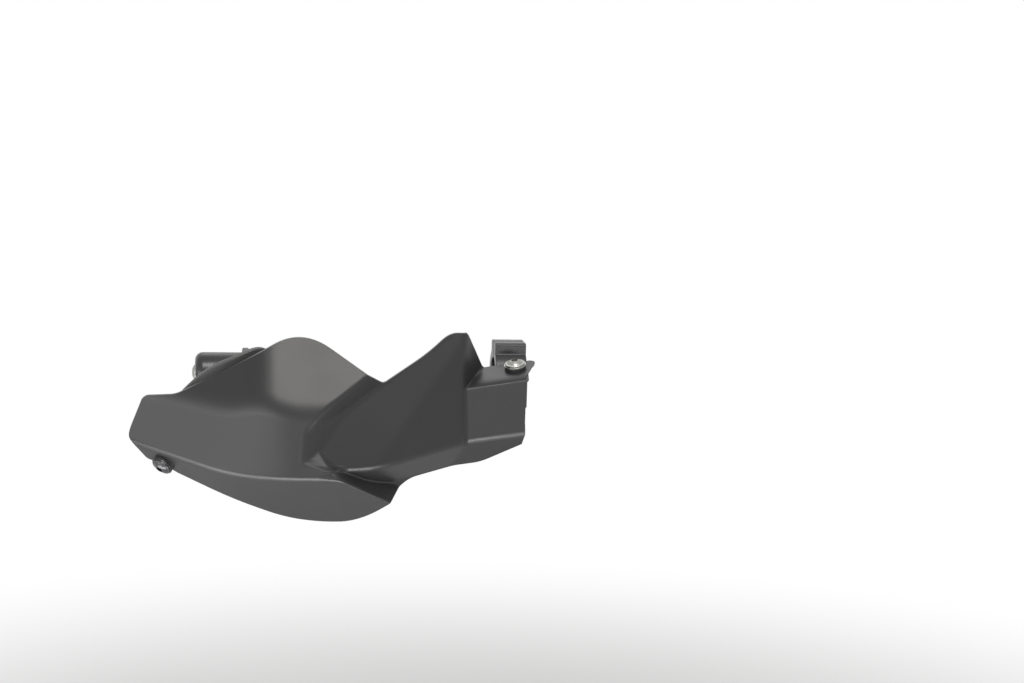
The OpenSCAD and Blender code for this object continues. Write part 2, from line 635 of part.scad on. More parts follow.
// Puts a piece on a clamp screw's axis, with its own +Z pointing back to the rider
module on_clamp_screw(side) {
    translate([0, 0, side * clamp_screw_z]) rotate([-90, 0, 0]) children();
}
module clamp_front() {
    color(cast) difference() {
        intersection() {
            clamp_body();
            translate([-clamp_width, -clamp_front_depth - 1, -clamp_height])
                cube([2 * clamp_width, clamp_front_depth + 1 - clamp_gap / 2, 2 * clamp_height]);
        }
        for (side = [-1, 1]) on_clamp_screw(side) translate([0, 0, clamp_screw_end])
            cylinder(d = thread_d + 2 * thread_gap, h = 2 * ear_depth);
        translate([0, -clamp_front_depth - 1, arm_screw_z]) rotate([-90, 0, 0])
            cylinder(d = thread_d + 2 * thread_gap, h = arm_screw_bite + 2);
    }
}
module clamp_rear() {
    color(cast) difference() {
        intersection() {
            clamp_body();
            translate([-clamp_width, clamp_gap / 2, -clamp_height])
                cube([2 * clamp_width, clamp_front_depth, 2 * clamp_height]);
        }
        for (side = [-1, 1]) on_clamp_screw(side) {
            cylinder(d = thread_d + hole_clear, h = 2 * ear_depth);
            translate([0, 0, ear_depth]) cylinder(d = clamp_washer_d + 1, h = ear_depth);
        }
    }
}
module clamp_screw(side) {
    color(steel) on_clamp_screw(side) translate([0, 0, ear_depth + washer_thick])
        button_screw(ear_depth + washer_thick - clamp_screw_end - 0.5);
}
module clamp_washer(side) {
    color(steel) on_clamp_screw(side) translate([0, 0, ear_depth]) flat_washer(clamp_washer_d, washer_thick);
}
module clamp_screw_upper() { clamp_screw(1); }
module clamp_screw_lower() { clamp_screw(-1); }
module clamp_washer_upper() { clamp_washer(1); }
module clamp_washer_lower() { clamp_washer(-1); }

// The arm: a foot on the clamp's front and a round head under the ledge
module on_arm_screw() {
    translate([0, -clamp_front_depth, arm_screw_z]) rotate([90, 0, 0]) children();
}
module arm_head() {
    on_ledge_seat() translate([0, 0, plate_top - arm_thick]) cylinder(d = arm_width, h = arm_thick);
}
module clamp_arm() {
    color(coated) difference() {
        union() {
            translate([-arm_width / 2, -clamp_front_depth - arm_thick, arm_foot_top - arm_foot])
                cube([arm_width, arm_thick, arm_foot]);
            hull() {
                arm_head($fn = 32);
                translate([-arm_width / 2, -clamp_front_depth - arm_thick, arm_foot_top - 1])
                    cube([arm_width, arm_thick, 2]);
            }
        }
        on_arm_screw() translate([0, 0, -1]) cylinder(d = thread_d + hole_clear, h = arm_thick + 2);
        on_ledge_seat() translate([0, 0, plate_top - 2 * arm_thick])
            cylinder(d = thread_d + hole_clear, h = 3 * arm_thick);
        // Spot faces for the rubber and for the nut
        on_ledge_seat() translate([0, 0, plate_top]) cylinder(d = rubber_d + 0.6, h = arm_thick);
        on_ledge_seat() translate([0, 0, plate_top - arm_thick - nut_height])
            cylinder(d = nut_flats + 3.6, h = nut_height);
    }
}
module arm_washer() {
    color(steel) on_arm_screw() translate([0, 0, arm_thick]) flat_washer(clamp_washer_d, washer_thick);
}
module arm_screw() {
    color(steel) on_arm_screw() translate([0, 0, arm_thick + washer_thick])
        button_screw(arm_thick + washer_thick + arm_screw_bite);
}

guard_shell();
bar_end_bracket();
bar_end_weight();
bar_end_screw();
expander_washer();
expander_sleeve();
expander_cone();
tip_screw();
tip_washer();
tip_grommet();
tip_nut();
ledge_screw();
ledge_washer();
ledge_grommet();
ledge_nut();
clamp_arm();
clamp_front();
clamp_rear();
clamp_screw_upper();
clamp_screw_lower();
clamp_washer_upper();
clamp_washer_lower();
arm_screw();
arm_washer();
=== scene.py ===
import math

import bmesh
import bpy
import numpy as np
from mathutils import Matrix, Vector


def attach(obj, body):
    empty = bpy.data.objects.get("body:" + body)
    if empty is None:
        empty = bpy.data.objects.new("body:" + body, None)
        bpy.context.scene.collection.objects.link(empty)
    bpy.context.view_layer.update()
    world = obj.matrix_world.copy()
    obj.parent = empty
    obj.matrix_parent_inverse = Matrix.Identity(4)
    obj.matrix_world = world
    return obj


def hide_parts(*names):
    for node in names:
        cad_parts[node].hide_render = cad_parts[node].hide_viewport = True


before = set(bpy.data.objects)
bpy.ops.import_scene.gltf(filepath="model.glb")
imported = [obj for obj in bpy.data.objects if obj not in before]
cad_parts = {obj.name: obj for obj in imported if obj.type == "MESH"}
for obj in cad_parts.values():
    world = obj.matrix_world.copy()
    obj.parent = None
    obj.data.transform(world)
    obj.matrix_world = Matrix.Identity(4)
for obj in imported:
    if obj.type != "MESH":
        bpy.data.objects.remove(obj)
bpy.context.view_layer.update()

# The camera stands 1.7 m in front of the guard, 8 degrees to the outer side and 8 degrees
# above it, with a slight roll. The clamp's centre falls at pixel (508, 374) of 1024 by 683.
camera_azimuth = math.radians(-8)
camera_height_angle = math.radians(8)
camera_roll = math.radians(1.6)
camera_distance = 1.7
metres_per_pixel = 0.00065
image_width, image_height = 1024, 683
clamp_pixel = (508, 374)

camera_back = Vector((math.sin(camera_azimuth) * math.cos(camera_height_angle),
                      -math.cos(camera_azimuth) * math.cos(camera_height_angle),
                      math.sin(camera_height_angle)))
level_right = Vector((math.cos(camera_azimuth), math.sin(camera_azimuth), 0))
level_up = camera_back.cross(level_right)
camera_right = math.cos(camera_roll) * level_right + math.sin(camera_roll) * level_up
camera_up = camera_back.cross(camera_right)
aside = (clamp_pixel[0] - image_width / 2) * metres_per_pixel
above = (image_height / 2 - clamp_pixel[1]) * metres_per_pixel
camera_data = bpy.data.cameras.new("camera")
camera_data.sensor_width = 36
camera_data.lens = 36 * camera_distance / metres_per_pixel / image_width
camera = bpy.data.objects.new("camera", camera_data)
bpy.context.scene.collection.objects.link(camera)
camera.matrix_world = Matrix.Translation(
    camera_back * camera_distance - camera_right * aside - camera_up * above) @ Matrix(
    (camera_right, camera_up, camera_back)).transposed().to_4x4()
bpy.context.scene.camera = camera
bpy.context.scene.view_settings.view_transform = "Standard"

# The shell is one injection moulding in black ABS, 3 mm thick. Each face is a plane that gives
# how far forward of the clamp's axis the skin lies over a point (x, z), in millimetres, and the
# faces meet in soft edges. It hangs on two screws, in rubber rings that sit in flat bosses.
tip_reach, inner_reach, inner_rake = 244, 5, 10
peak_height, peak_out, rim_drop, wall, edge_blend = 32.8, 138.4, 86.5, 3, 3.5
palm_forward, tip_forward, tip_sweep, sweep_blend = 98.5, 40, 36, 20
brow_height, brow_lean, chin_height, under_slope = -9.5, 32, -51, 1.3
wing_forward, wing_sweep, wing_lean, wing_height = 92, 17, 12, 33.5
ridge_angle, ridge_fall = 53, 0.4
ledge_forward, ledge_rear, side_wall_out, ledge_height, ledge_pitch = 50, 24, 33, 4.8, 0.24
thread_d, rubber_d, rubber_thick, seat_proud = 6, 13.4, 1.4, 0.3
seat_depth = wall + seat_proud


def soft_min(a, b, blend):
    """The lower of two heights, rounded off where they differ by less than the blend, in mm."""
    return np.minimum(a, b) - np.maximum(blend - np.abs(a - b), 0) ** 2 / (4 * blend)


def soft_max(a, b, blend):
    return -soft_min(-a, -b, blend)


def slope_of(degrees):
    return math.tan(math.radians(degrees))


def on_line(line, x):
    return line[1] + line[2] * (x - line[0])


def on_plane(plane, x, z):
    return plane[2] + plane[3] * (x - plane[0]) + plane[4] * (z - plane[1])


def past_line(line, x, z):
    angle = math.radians(line[2])
    return math.sin(angle) * (x - line[0]) - math.cos(angle) * (z - line[1])


peak_round = 22
peak_corner = peak_height + peak_round / 4
tip_top = (32 - tip_reach, -4.4, 0.15)
tip_corner = (9 - tip_reach, -9, 1.3)
ramp = (-peak_out, peak_corner, 0.565)
descent = (-peak_out, peak_corner, -0.66)
valley = (-87.5, on_line(descent, -87.5))
wing_slope = (valley[0], valley[1], 0.6)
wing_shoulder = (-58.4, wing_height - 11.3, 0.85)
wing_top = (-38, wing_height, -0.06)
gusset = (1.8 - side_wall_out, wing_height - 3.5, -1.9)
bowl_outer = (12 - tip_reach, -49, -0.39)
bowl_inner = (-74, -63.4, 0.9)
wing_hem = (-68.7, -59.2, 0.14)
ledge_hem = (inner_reach, -38.6, 0.545)
tip_cut = (3 - tip_reach, -38.4, 0.85)
tip_chin = (3 - tip_reach, -38.4, -0.215)
wing_chin_line = (-86.4, -46, 0.183)
ledge_chin = (4, -31.7, 0.128)
tip_brow = (40 - tip_reach, brow_height + 3, -0.13)
ledge_edge = (0, ledge_height, 0.158)
tip_face = (-tip_reach, 0, tip_forward, slope_of(tip_sweep), 0)
palm_face = (-peak_out, 0, palm_forward, 0.02, 0)
wing_plane = (-116, -47, wing_forward, -slope_of(wing_sweep), -slope_of(wing_lean))
ridge = (-84.5, -41.9, ridge_angle)
side_plane = (-side_wall_out, 0, ledge_forward, -2, 0)
upper_edge = (valley[0], valley[1], 34)
lower_edge = (-121.3, -21.6, 56)
upper_band_slope, lower_band_slope, facet_side_slope = 1.03, 0.47, 1.6
heel_plane = (-97, -68.1, 76.3, -2, 0.35)
sole_plane = (-101.2, -59.5, 74.7, -1.15, -0.47)
toe_plane = (-116, -52, 99, 0, -2)
facet_plane = (-129, -32.5, 92.5, -0.247, -0.496)
facet_edge = (-129, -32.5, -54)
facet_base = (-137.4, -40.6, -0.27)
toe_edge = (-120.6, -45.6, 35)
ledge_plane = (0, 0, ledge_forward, 0, 0.06)
ledge_end_plane = (-side_wall_out, 0, ledge_forward + 4, 0.9, 0)


def top_rim(x):
    tip = soft_min(on_line(tip_top, x), on_line(tip_corner, x), 2.5)
    palm_rim = soft_min(soft_max(on_line(ramp, x), tip, 1.5), on_line(descent, x), peak_round)
    shoulder = soft_max(on_line(wing_slope, x), on_line(wing_shoulder, x), 2)
    wing_rim = soft_min(soft_min(shoulder, on_line(wing_top, x), 5), on_line(gusset, x), 2)
    ledge_rim = on_line(ledge_edge, x) + (ledge_forward - ledge_rear) * ledge_pitch
    return np.maximum(soft_max(palm_rim, wing_rim, 2.5), np.where(x > -side_wall_out, ledge_rim, -tip_reach))


def low_rim(x):
    inner_hem = soft_min(on_line(bowl_inner, x), soft_max(on_line(wing_hem, x), on_line(ledge_hem, x), 2), 5)
    return soft_max(soft_max(on_line(bowl_outer, x), -rim_drop, 8), inner_hem, 12)


def tip_end(z):
    upper = soft_max(tip_corner[0] + 0.37 * (z - tip_corner[1]), -tip_reach, 2.5)
    return soft_max(upper, tip_cut[0] + tip_cut[2] * (tip_cut[1] - z), 2.5)


def palm_chin(x):
    return soft_max(chin_height, on_line(tip_chin, x), 3)


def wing_chin(x):
    return soft_max(-46.3, soft_min(on_line(wing_chin_line, x), on_line(ledge_chin, x), 2), 3)


def brow(x):
    return soft_max(brow_height, on_line(tip_brow, x), 2)


def palm(x, z):
    front = soft_min(on_plane(tip_face, x, z), on_plane(palm_face, x, z), sweep_blend)
    shoulder = soft_min(on_plane(tip_face, x, z), on_plane(palm_face, x, z), 8)
    leaning = shoulder - slope_of(brow_lean) * (z - brow(x))
    under = front + under_slope * (z - palm_chin(x))
    return soft_min(soft_min(front, leaning, 5), under, edge_blend)


def wing(x, z):
    outer = on_plane(wing_plane, x, z)
    face = soft_min(outer, outer - ridge_fall * past_line(ridge, x, z), 2.5)
    under = face + under_slope * (z - wing_chin(x))
    return soft_min(soft_min(face, under, edge_blend), on_plane(side_plane, x, z), 6)


def step(x, z):
    outer = on_plane(wing_plane, x, z)
    band = soft_max(outer - upper_band_slope * past_line(upper_edge, x, z),
                    outer - lower_band_slope * past_line(lower_edge, x, z), 2)
    foot = soft_min(soft_min(on_plane(sole_plane, x, z), on_plane(heel_plane, x, z), 2),
                    on_plane(toe_plane, x, z), 2)
    facet = on_plane(facet_plane, x, z)
    facet_above = facet + soft_min(0, facet_side_slope * past_line(facet_edge, x, z), 2.5)
    facet_below = soft_min(facet + facet_side_slope * (on_line(facet_base, x) - z),
                           palm_forward - facet_side_slope * past_line(toe_edge, x, z), 2.5)
    return soft_max(soft_max(band, foot, 2), soft_max(facet_above, facet_below, 2.5), 1.5)


def ledge(x, z):
    front = on_plane(ledge_plane, x, z)
    top = ledge_forward - (z - on_line(ledge_edge, x)) / ledge_pitch
    under = front + z - wing_chin(x)
    whole = soft_min(soft_min(front, top, 12), under, edge_blend)
    return soft_min(whole, on_plane(ledge_end_plane, x, z), 1)


def outer_skin(x, z):
    return soft_max(soft_min(palm(x, z), soft_max(step(x, z), wing(x, z), 2), 3), ledge(x, z), 2)


def skin_slopes(x, z, span=0.8):
    inward = (outer_skin(x + span, z) - outer_skin(x - span, z)) / (2 * span)
    upward = (outer_skin(x, z + span) - outer_skin(x, z - span)) / (2 * span)
    return inward, upward


# Columns of the shell's grid follow its creases. Each line gives x at the levels rim, brow,
# elbow, middle, corner, chin, foot and hem, and the rows run from the rim to the hem.
wing_edge = -side_wall_out
crease_lines = np.array([
    (tip_corner[0], 7 - tip_reach, 4 - tip_reach, 1 - tip_reach, 1 - tip_reach, 3 - tip_reach,
     7 - tip_reach, 12 - tip_reach),
    (32 - tip_reach, 30 - tip_reach, 29 - tip_reach, 28 - tip_reach, 28 - tip_reach, 28 - tip_reach,
     29 - tip_reach, 31 - tip_reach),
    (-161, -160, -160, -160, -160, -160, -159, -158),
    (-106, -133, -141, -145, -145, -139, -118, -105),
    (-98, -125, -133.3, -137.2, -137.2, -129.5, -107, -95),
    (valley[0], -108, -119.2, -127.6, -123.9, -116.5, -97, -78),
    (wing_edge - 1, -62, -69.9, -75.9, -81.2, -86, -76, -64),
    (wing_edge + 1.3, wing_edge, wing_edge + 0.5, wing_edge + 1, wing_edge + 1.5, wing_edge + 2,
     wing_edge + 2.5, wing_edge + 3),
    (wing_edge + 14, wing_edge + 1.5, wing_edge + 5, wing_edge + 9, wing_edge + 10, wing_edge + 11,
     wing_edge + 11.5, wing_edge + 12),
    (inner_reach + inner_rake, inner_reach, inner_reach, inner_reach, inner_reach, inner_reach + 0.5,
     inner_reach, inner_reach - 0.5)], float)
columns_between = [20, 40, 18, 20, 34, 40, 34, 10, 26]
# How many rows lie between two levels, and how they crowd towards the crease at one end
rows_between = [(22, 1), (18, 1), (16, 1), (20, 1), (26, 0.65), (28, 1.6), (24, 1)]

column_at = np.concatenate([np.linspace(i, i + 1, n, endpoint=False) for i, n in enumerate(columns_between)]
                           + [[len(columns_between)]])
row_at = np.concatenate([i + np.linspace(0, 1, n, endpoint=False) ** crowd
                         for i, (n, crowd) in enumerate(rows_between)] + [[len(rows_between)]])
left = np.minimum(column_at.astype(int), len(crease_lines) - 2)
level_x = crease_lines[left] + (crease_lines[left + 1] - crease_lines[left]) * (column_at - left)[:, None]


def over(x, start, end):
    return np.clip((x - start) / (end - start), 0, 1)


def brow_z(x):
    share = over(x, -62, wing_edge)
    return np.minimum(brow(x) * (1 - share) + on_line(ledge_edge, x) * share, top_rim(x) - 3)


def chin_z(x):
    share = over(x, -130, -119)
    return palm_chin(x) * (1 - share) + wing_chin(x) * share


level_z = np.stack([top_rim(level_x[:, 0])]
                   + [brow_z(level_x[:, i]) * (1 - share) + chin_z(level_x[:, i]) * share
                      for i, share in ((1, 0), (2, 0.28), (3, 0.55), (4, 0.77), (5, 1))]
                   + [chin_z(level_x[:, 6]) * 0.58 + low_rim(level_x[:, 6]) * 0.42,
                      low_rim(level_x[:, 7])], 1)
above_row = np.minimum(row_at.astype(int), len(rows_between) - 1)
share = row_at - above_row
grid_x = level_x[:, above_row] * (1 - share) + level_x[:, above_row + 1] * share
grid_z = level_z[:, above_row] * (1 - share) + level_z[:, above_row + 1] * share
end_x = crease_lines[0][above_row] * (1 - share) + crease_lines[0][above_row + 1] * share
grid_x = grid_x + (tip_end(grid_z) - end_x) * np.clip(1 - column_at, 0, 1)[:, None]
outside = outer_skin(grid_x, grid_z)
# Under the rear edge of the ledge the lining is drawn down, so that this edge ends square
inner_z = grid_z - wall * np.clip(1 - row_at, 0, 1) * over(grid_x, wing_edge, wing_edge + 14)
inward, upward = skin_slopes(grid_x, inner_z)
inside = outer_skin(grid_x, inner_z) - wall * np.sqrt(1 + inward ** 2 + upward ** 2)

columns, rows = grid_x.shape
lining = columns * rows
number = np.arange(lining).reshape(columns, rows)
corners = np.stack([number[:-1, :-1], number[1:, :-1], number[1:, 1:], number[:-1, 1:]], -1).reshape(-1, 4)
border = np.concatenate([number[0, :-1], number[:-1, -1], number[-1, :0:-1], number[:0:-1, 0]])
next_along = np.roll(border, -1)
shell_points = np.concatenate([np.stack([grid_x, -outside, grid_z], -1).reshape(-1, 3),
                               np.stack([grid_x, -inside, inner_z], -1).reshape(-1, 3)])
shell_faces = np.concatenate([corners, corners[:, ::-1] + lining,
                              np.stack([border, next_along, next_along + lining, border + lining], -1)])


def piece_from(name, points, faces):
    mesh = bpy.data.meshes.new(name)
    mesh.from_pydata((np.array(points) * 0.001).tolist(), [], [tuple(face) for face in faces])
    mesh.update()
    piece = bpy.data.objects.new(name, mesh)
    bpy.context.scene.collection.objects.link(piece)
    return piece


def turned(name, profile, sides=96):
    """A closed outline of (radius, height) in millimetres, turned about the upright axis."""
    points, first = [], []
    for radius, height in profile:
        first.append(len(points))
        count = sides if radius > 0 else 1
        points += [(radius * math.cos(math.tau * i / sides), radius * math.sin(math.tau * i / sides), height)
                   for i in range(count)]
    faces = []
    for k in range(len(profile)):
        here, there = k, (k + 1) % len(profile)
        for i in range(sides):
            j = (i + 1) % sides
            ring = []
            for end, pair in ((here, (i, j)), (there, (j, i))):
                ring += [first[end] + (n if profile[end][0] > 0 else 0) for n in pair]
            face = list(dict.fromkeys(ring))
            if len(face) > 2:
                faces.append(face)
    piece = piece_from(name, points, faces)
    outward(piece)
    return piece


def outward(piece):
    shape = bmesh.new()
    shape.from_mesh(piece.data)
    bmesh.ops.recalc_face_normals(shape, faces=shape.faces)
    shape.to_mesh(piece.data)
    shape.free()


def applied(piece):
    bpy.context.view_layer.update()
    evaluated = piece.evaluated_get(bpy.context.evaluated_depsgraph_get())
    mesh = bpy.data.meshes.new_from_object(evaluated)
    piece.modifiers.clear()
    piece.data = mesh
    return piece


def worked(piece, operation, tools):
    """Adds the tools to a piece, or cuts them out of it."""
    for tool in tools:
        change = piece.modifiers.new("work", "BOOLEAN")
        change.operation = operation
        change.solver = "EXACT"
        change.object = tool
        applied(piece)
        bpy.data.objects.remove(tool)
    return piece


def eased(piece, width, angle=40, segments=3):
    """Breaks the sharp edges of a piece by a small radius."""
    piece.data.polygons.foreach_set("use_smooth", [True] * len(piece.data.polygons))
    easing = piece.modifiers.new("ease", "BEVEL")
    easing.width = width * 0.001
    easing.segments = segments
    easing.limit_method = "ANGLE"
    easing.angle_limit = math.radians(angle)
    return applied(piece)


def finished(piece, material, node, sharp=36):
    """Shades the rounded faces smooth and the flat ones flat, and gives the piece its finish."""
    piece.data.polygons.foreach_set("use_smooth", [True] * len(piece.data.polygons))
    piece.data.set_sharp_from_angle(angle=math.radians(sharp))
    shading = piece.modifiers.new("flat faces", "WEIGHTED_NORMAL")
    shading.keep_sharp = True
    applied(piece)
    piece.data.materials.clear()
    piece.data.materials.append(material)
    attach(piece, "root")
    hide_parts(node)


def seat_at(point, normal):
    """The place of a screw at a point of the skin, with its own up along the outward normal."""
    swing = Matrix.Rotation(math.atan2(normal.y, normal.x), 4, "Z")
    return Matrix.Translation(point * 0.001) @ swing @ Matrix.Rotation(math.acos(normal.z), 4, "Y")


tip_screw_x, tip_screw_below = 22.6 - tip_reach, 7.6
tip_screw_z = float(palm_chin(tip_screw_x)) - tip_screw_below
tip_inward, tip_upward = skin_slopes(tip_screw_x, tip_screw_z)
tip_point = Vector((tip_screw_x, -float(outer_skin(tip_screw_x, tip_screw_z)), tip_screw_z))
tip_normal = Vector((-tip_inward, -1, -tip_upward)).normalized()
tip_seat = seat_at(tip_point, tip_normal)
ledge_screw_forward = 33
ledge_screw_z = ledge_height + (ledge_forward - ledge_screw_forward) * ledge_pitch
ledge_seat = seat_at(Vector((0, -ledge_screw_forward, ledge_screw_z)),
                     Vector((-ledge_edge[2] / ledge_pitch, -1, 1 / ledge_pitch)).normalized())


def put(piece, place):
    piece.data.transform(place)
    piece.data.update()
    return piece


def rod(name, radius, low, high, sides=96):
    """A plain round bar from low to high along its own axis."""
    return turned(name, [(0, low), (radius, low), (radius, high), (0, high)], sides)


def rounding(corner, one_way, other_way, radius, low, high, place):
    """The waste outside a round corner. The two directions run from the corner along its edges,
    in the plane of place, whose third axis the waste follows from low to high."""
    corner, spare = Vector(corner), 3
    one_way = Vector(one_way).normalized()
    other_way = Vector(other_way).normalized()
    half = one_way.angle(other_way) / 2
    centre = corner + (one_way + other_way).normalized() * (radius / math.sin(half))
    touches = [corner + one * (radius / math.tan(half)) for one in (one_way, other_way)]
    outline = [centre, touches[0] + (touches[0] - centre).normalized() * spare,
               corner + (corner - centre).normalized() * (spare / math.sin(half)),
               touches[1] + (touches[1] - centre).normalized() * spare]
    points = [(*point, height) for height in (low, high) for point in outline]
    waste = piece_from("waste", points, [
        (0, 1, 2, 3), (7, 6, 5, 4), (0, 4, 5, 1), (1, 5, 6, 2), (2, 6, 7, 3), (3, 7, 4, 0)])
    outward(waste)
    kept = put(rod("kept", radius, low - 1, high + 1), Matrix.Translation(Vector((*centre, 0)) * 0.001))
    return put(worked(waste, "DIFFERENCE", [kept]), place)


def way(row, column_step, row_step):
    """The direction along the rim of the shell's outer end, seen from the front."""
    there = column_step, row + row_step
    return grid_x[there] - grid_x[0, row], grid_z[there] - grid_z[0, row]


def gathered(piece, others):
    """Puts other meshes into a piece's mesh, each as it is."""
    shape = bmesh.new()
    shape.from_mesh(piece.data)
    for other in others:
        shape.from_mesh(other.data)
        bpy.data.objects.remove(other)
    shape.to_mesh(piece.data)
    shape.free()
    return piece


shell = piece_from("shell_moulding", shell_points, shell_faces)
rim_round, tip_round, far_round, ledge_round = 0.6, 5, 8, 4
eased(shell, rim_round, angle=48)
# Three corners of the outer end are cut round from the front, and the ledge's rear corner from above
from_front = Matrix.Rotation(math.radians(90), 4, "X")
far_row = int(np.argmin(grid_x[0]))
cut_depth, ledge_cut_low, ledge_cut_high = 130, -6, 30
corner_waste = [
    rounding((grid_x[0, row], grid_z[0, row]), way(row, *one), way(row, *other), radius,
             0, cut_depth, from_front)
    for row, one, other, radius in ((0, (3, 0), (0, 3), tip_round), (far_row, (0, -6), (0, 6), far_round),
                                    (rows - 1, (3, 0), (0, -3), tip_round))]
along_rear = grid_x[-4, 0] - grid_x[-1, 0], outside[-1, 0] - outside[-4, 0]
along_end = grid_x[-1, 3] - grid_x[-1, 0], outside[-1, 0] - outside[-1, 3]
corner_waste.append(rounding((grid_x[-1, 0], -outside[-1, 0]), along_rear, along_end, ledge_round,
                             ledge_cut_low, ledge_cut_high, Matrix.Identity(4)))
worked(shell, "DIFFERENCE", corner_waste)
boss_d, boss_edge, grommet_hole_d, opening_reach = rubber_d + 0.6, 0.2, thread_d + 3.6, 8
for seat in (tip_seat, ledge_seat):
    opening = put(rod("opening", boss_d / 2 - 0.02, -opening_reach, opening_reach), seat)
    worked(shell, "DIFFERENCE", [opening])
    boss = turned("boss", [
        (grommet_hole_d / 2, -seat_depth), (boss_d / 2 - boss_edge, -seat_depth),
        (boss_d / 2, boss_edge - seat_depth), (boss_d / 2, seat_proud - boss_edge),
        (boss_d / 2 - boss_edge, seat_proud), (grommet_hole_d / 2, seat_proud)])
    gathered(shell, [put(boss, seat)])


def grained(name, colour, metal, roughness, grain_size, grain_depth, patch_size,
            patch_colour=None, shine=0.5):
    """A finish with a fine grain as bump and broad soft patches in its gloss. Sizes in mm."""
    material = bpy.data.materials.new(name)
    material.use_nodes = True
    nodes, links = material.node_tree.nodes, material.node_tree.links
    shader = nodes["Principled BSDF"]
    shader.inputs["Metallic"].default_value = metal
    shader.inputs["Specular IOR Level"].default_value = shine
    place = nodes.new("ShaderNodeTexCoord")
    grain = nodes.new("ShaderNodeTexNoise")
    grain.inputs["Scale"].default_value = 1000 / grain_size
    grain.inputs["Detail"].default_value = 3
    links.new(place.outputs["Object"], grain.inputs["Vector"])
    bump = nodes.new("ShaderNodeBump")
    bump.inputs["Strength"].default_value = 1
    bump.inputs["Distance"].default_value = grain_depth * 0.001
    links.new(grain.outputs["Fac"], bump.inputs["Height"])
    links.new(bump.outputs["Normal"], shader.inputs["Normal"])
    patches = nodes.new("ShaderNodeTexNoise")
    patches.inputs["Scale"].default_value = 1000 / patch_size
    patches.inputs["Detail"].default_value = 2
    links.new(place.outputs["Object"], patches.inputs["Vector"])
    gloss = nodes.new("ShaderNodeMapRange")
    gloss.inputs["From Min"].default_value = 0.3
    gloss.inputs["From Max"].default_value = 0.7
    gloss.inputs["To Min"].default_value = roughness[0]
    gloss.inputs["To Max"].default_value = roughness[1]
    links.new(patches.outputs["Fac"], gloss.inputs["Value"])
    links.new(gloss.outputs["Result"], shader.inputs["Roughness"])
    tint = nodes.new("ShaderNodeMix")
    tint.data_type = "RGBA"
    tint.inputs["A"].default_value = (*colour, 1)
    tint.inputs["B"].default_value = (*(patch_colour or [c * 1.2 for c in colour]), 1)
    links.new(patches.outputs["Fac"], tint.inputs["Factor"])
    links.new(tint.outputs["Result"], shader.inputs["Base Color"])
    return material


shell_plastic = grained("shell_plastic", (0.012, 0.012, 0.0124), 0, (0.35, 0.41), 0.45, 0.02, 60, shine=0.38)
finished(shell, shell_plastic, "guard_shell", sharp=50)

# The bracket is one strap of 4 mm steel, cut out, bent and powder coated black. Its eye sits
# under the weight. The strap runs forward, bends, and twists down inside the tip.
bar_end, strap_thick, strap_width, eye_d, nut_flats = 168, 4, 18, 31.5, 10
hole_clear = 0.4
plate_top = -seat_depth - rubber_thick
strap_middle = -bar_end - strap_thick / 2
foot_centre = np.array(tip_point) + np.array(tip_normal) * (plate_top - strap_thick / 2)
foot_run = np.array((0, 0, -1)) + np.array(tip_normal) * tip_normal.z
foot_run /= np.linalg.norm(foot_run)
half_strap = strap_width / 2
# Middle of the strap, direction of its face and half its width, from the eye to the foot
stations = [
    ((strap_middle, -3, 0), (1, 0, 0), half_strap),
    ((strap_middle, -16, 1.5), (1, 0, 0), half_strap),
    ((strap_middle + 1, -28, 5), (1, 0.05, 0), half_strap),
    ((strap_middle + 4, -40, 9.5), (1, 0.15, 0), half_strap),
    ((strap_middle + 7, -51, 14), (0.9, -0.4, -0.05), half_strap),
    ((strap_middle + 4, -57.5, 15.5), (0.35, -1, -0.15), half_strap),
    ((strap_middle - 6, -60, 12), (-0.15, -1, -0.35), half_strap - 0.5),
    ((strap_middle - 18, -58, 6), (-0.42, -0.85, -0.42), half_strap - 0.5),
    ((strap_middle - 28.5, -53.5, -3), (-0.52, -0.8, -0.45), half_strap - 0.5),
    ((strap_middle - 39.5, -48, -15), (-0.55, -0.75, -0.45), half_strap - 1.5),
    (foot_centre - foot_run * 12 + (1.2, 2, 0), (-0.55, -0.7, -0.45), half_strap - 3),
    (foot_centre, tuple(tip_normal), half_strap - 3),
    (foot_centre + foot_run * 3, tuple(tip_normal), half_strap - 4)]
station_table = np.array([[*middle, *face, half] for middle, face, half in stations])


def along_strap(t):
    """Middle, face and half width of the strap, on a smooth curve through its stations."""
    t = np.clip(np.asarray(t, float), 0, len(stations) - 1)
    i = np.minimum(t.astype(int), len(stations) - 2)
    before, here, there, after = [station_table[np.clip(i + k, 0, len(stations) - 1)]
                                  for k in (-1, 0, 1, 2)]
    s = (t - i)[:, None]
    return (2 * here + (there - before) * s + (2 * before - 5 * here + 4 * there - after) * s * s
            + (3 * here - before - 3 * there + after) * s ** 3) / 2


strap_at = np.linspace(0, len(stations) - 1, 169)
strap = along_strap(strap_at)
travel = along_strap(strap_at + 0.02)[:, :3] - along_strap(strap_at - 0.02)[:, :3]
face = strap[:, 3:6] - travel * ((strap[:, 3:6] * travel).sum(1) / (travel * travel).sum(1))[:, None]
face /= np.linalg.norm(face, axis=1)[:, None]
side = np.cross(travel, face)
side /= np.linalg.norm(side, axis=1)[:, None]
strap_corner = 0.9
strap_rings = []
for across, through in ((1, 1), (-1, 1), (-1, -1), (1, -1)):
    for step_round in range(5):
        turn = math.pi / 8 * step_round
        swing, lift = math.cos(turn), math.sin(turn)
        if across * through < 0:
            swing, lift = lift, swing
        strap_rings.append(strap[:, :3]
                           + side * (across * (strap[:, 6:7] - strap_corner + strap_corner * swing))
                           + face * (through * (strap_thick / 2 - strap_corner + strap_corner * lift)))
strap_points = np.stack(strap_rings, 1).reshape(-1, 3)
around = len(strap_rings)
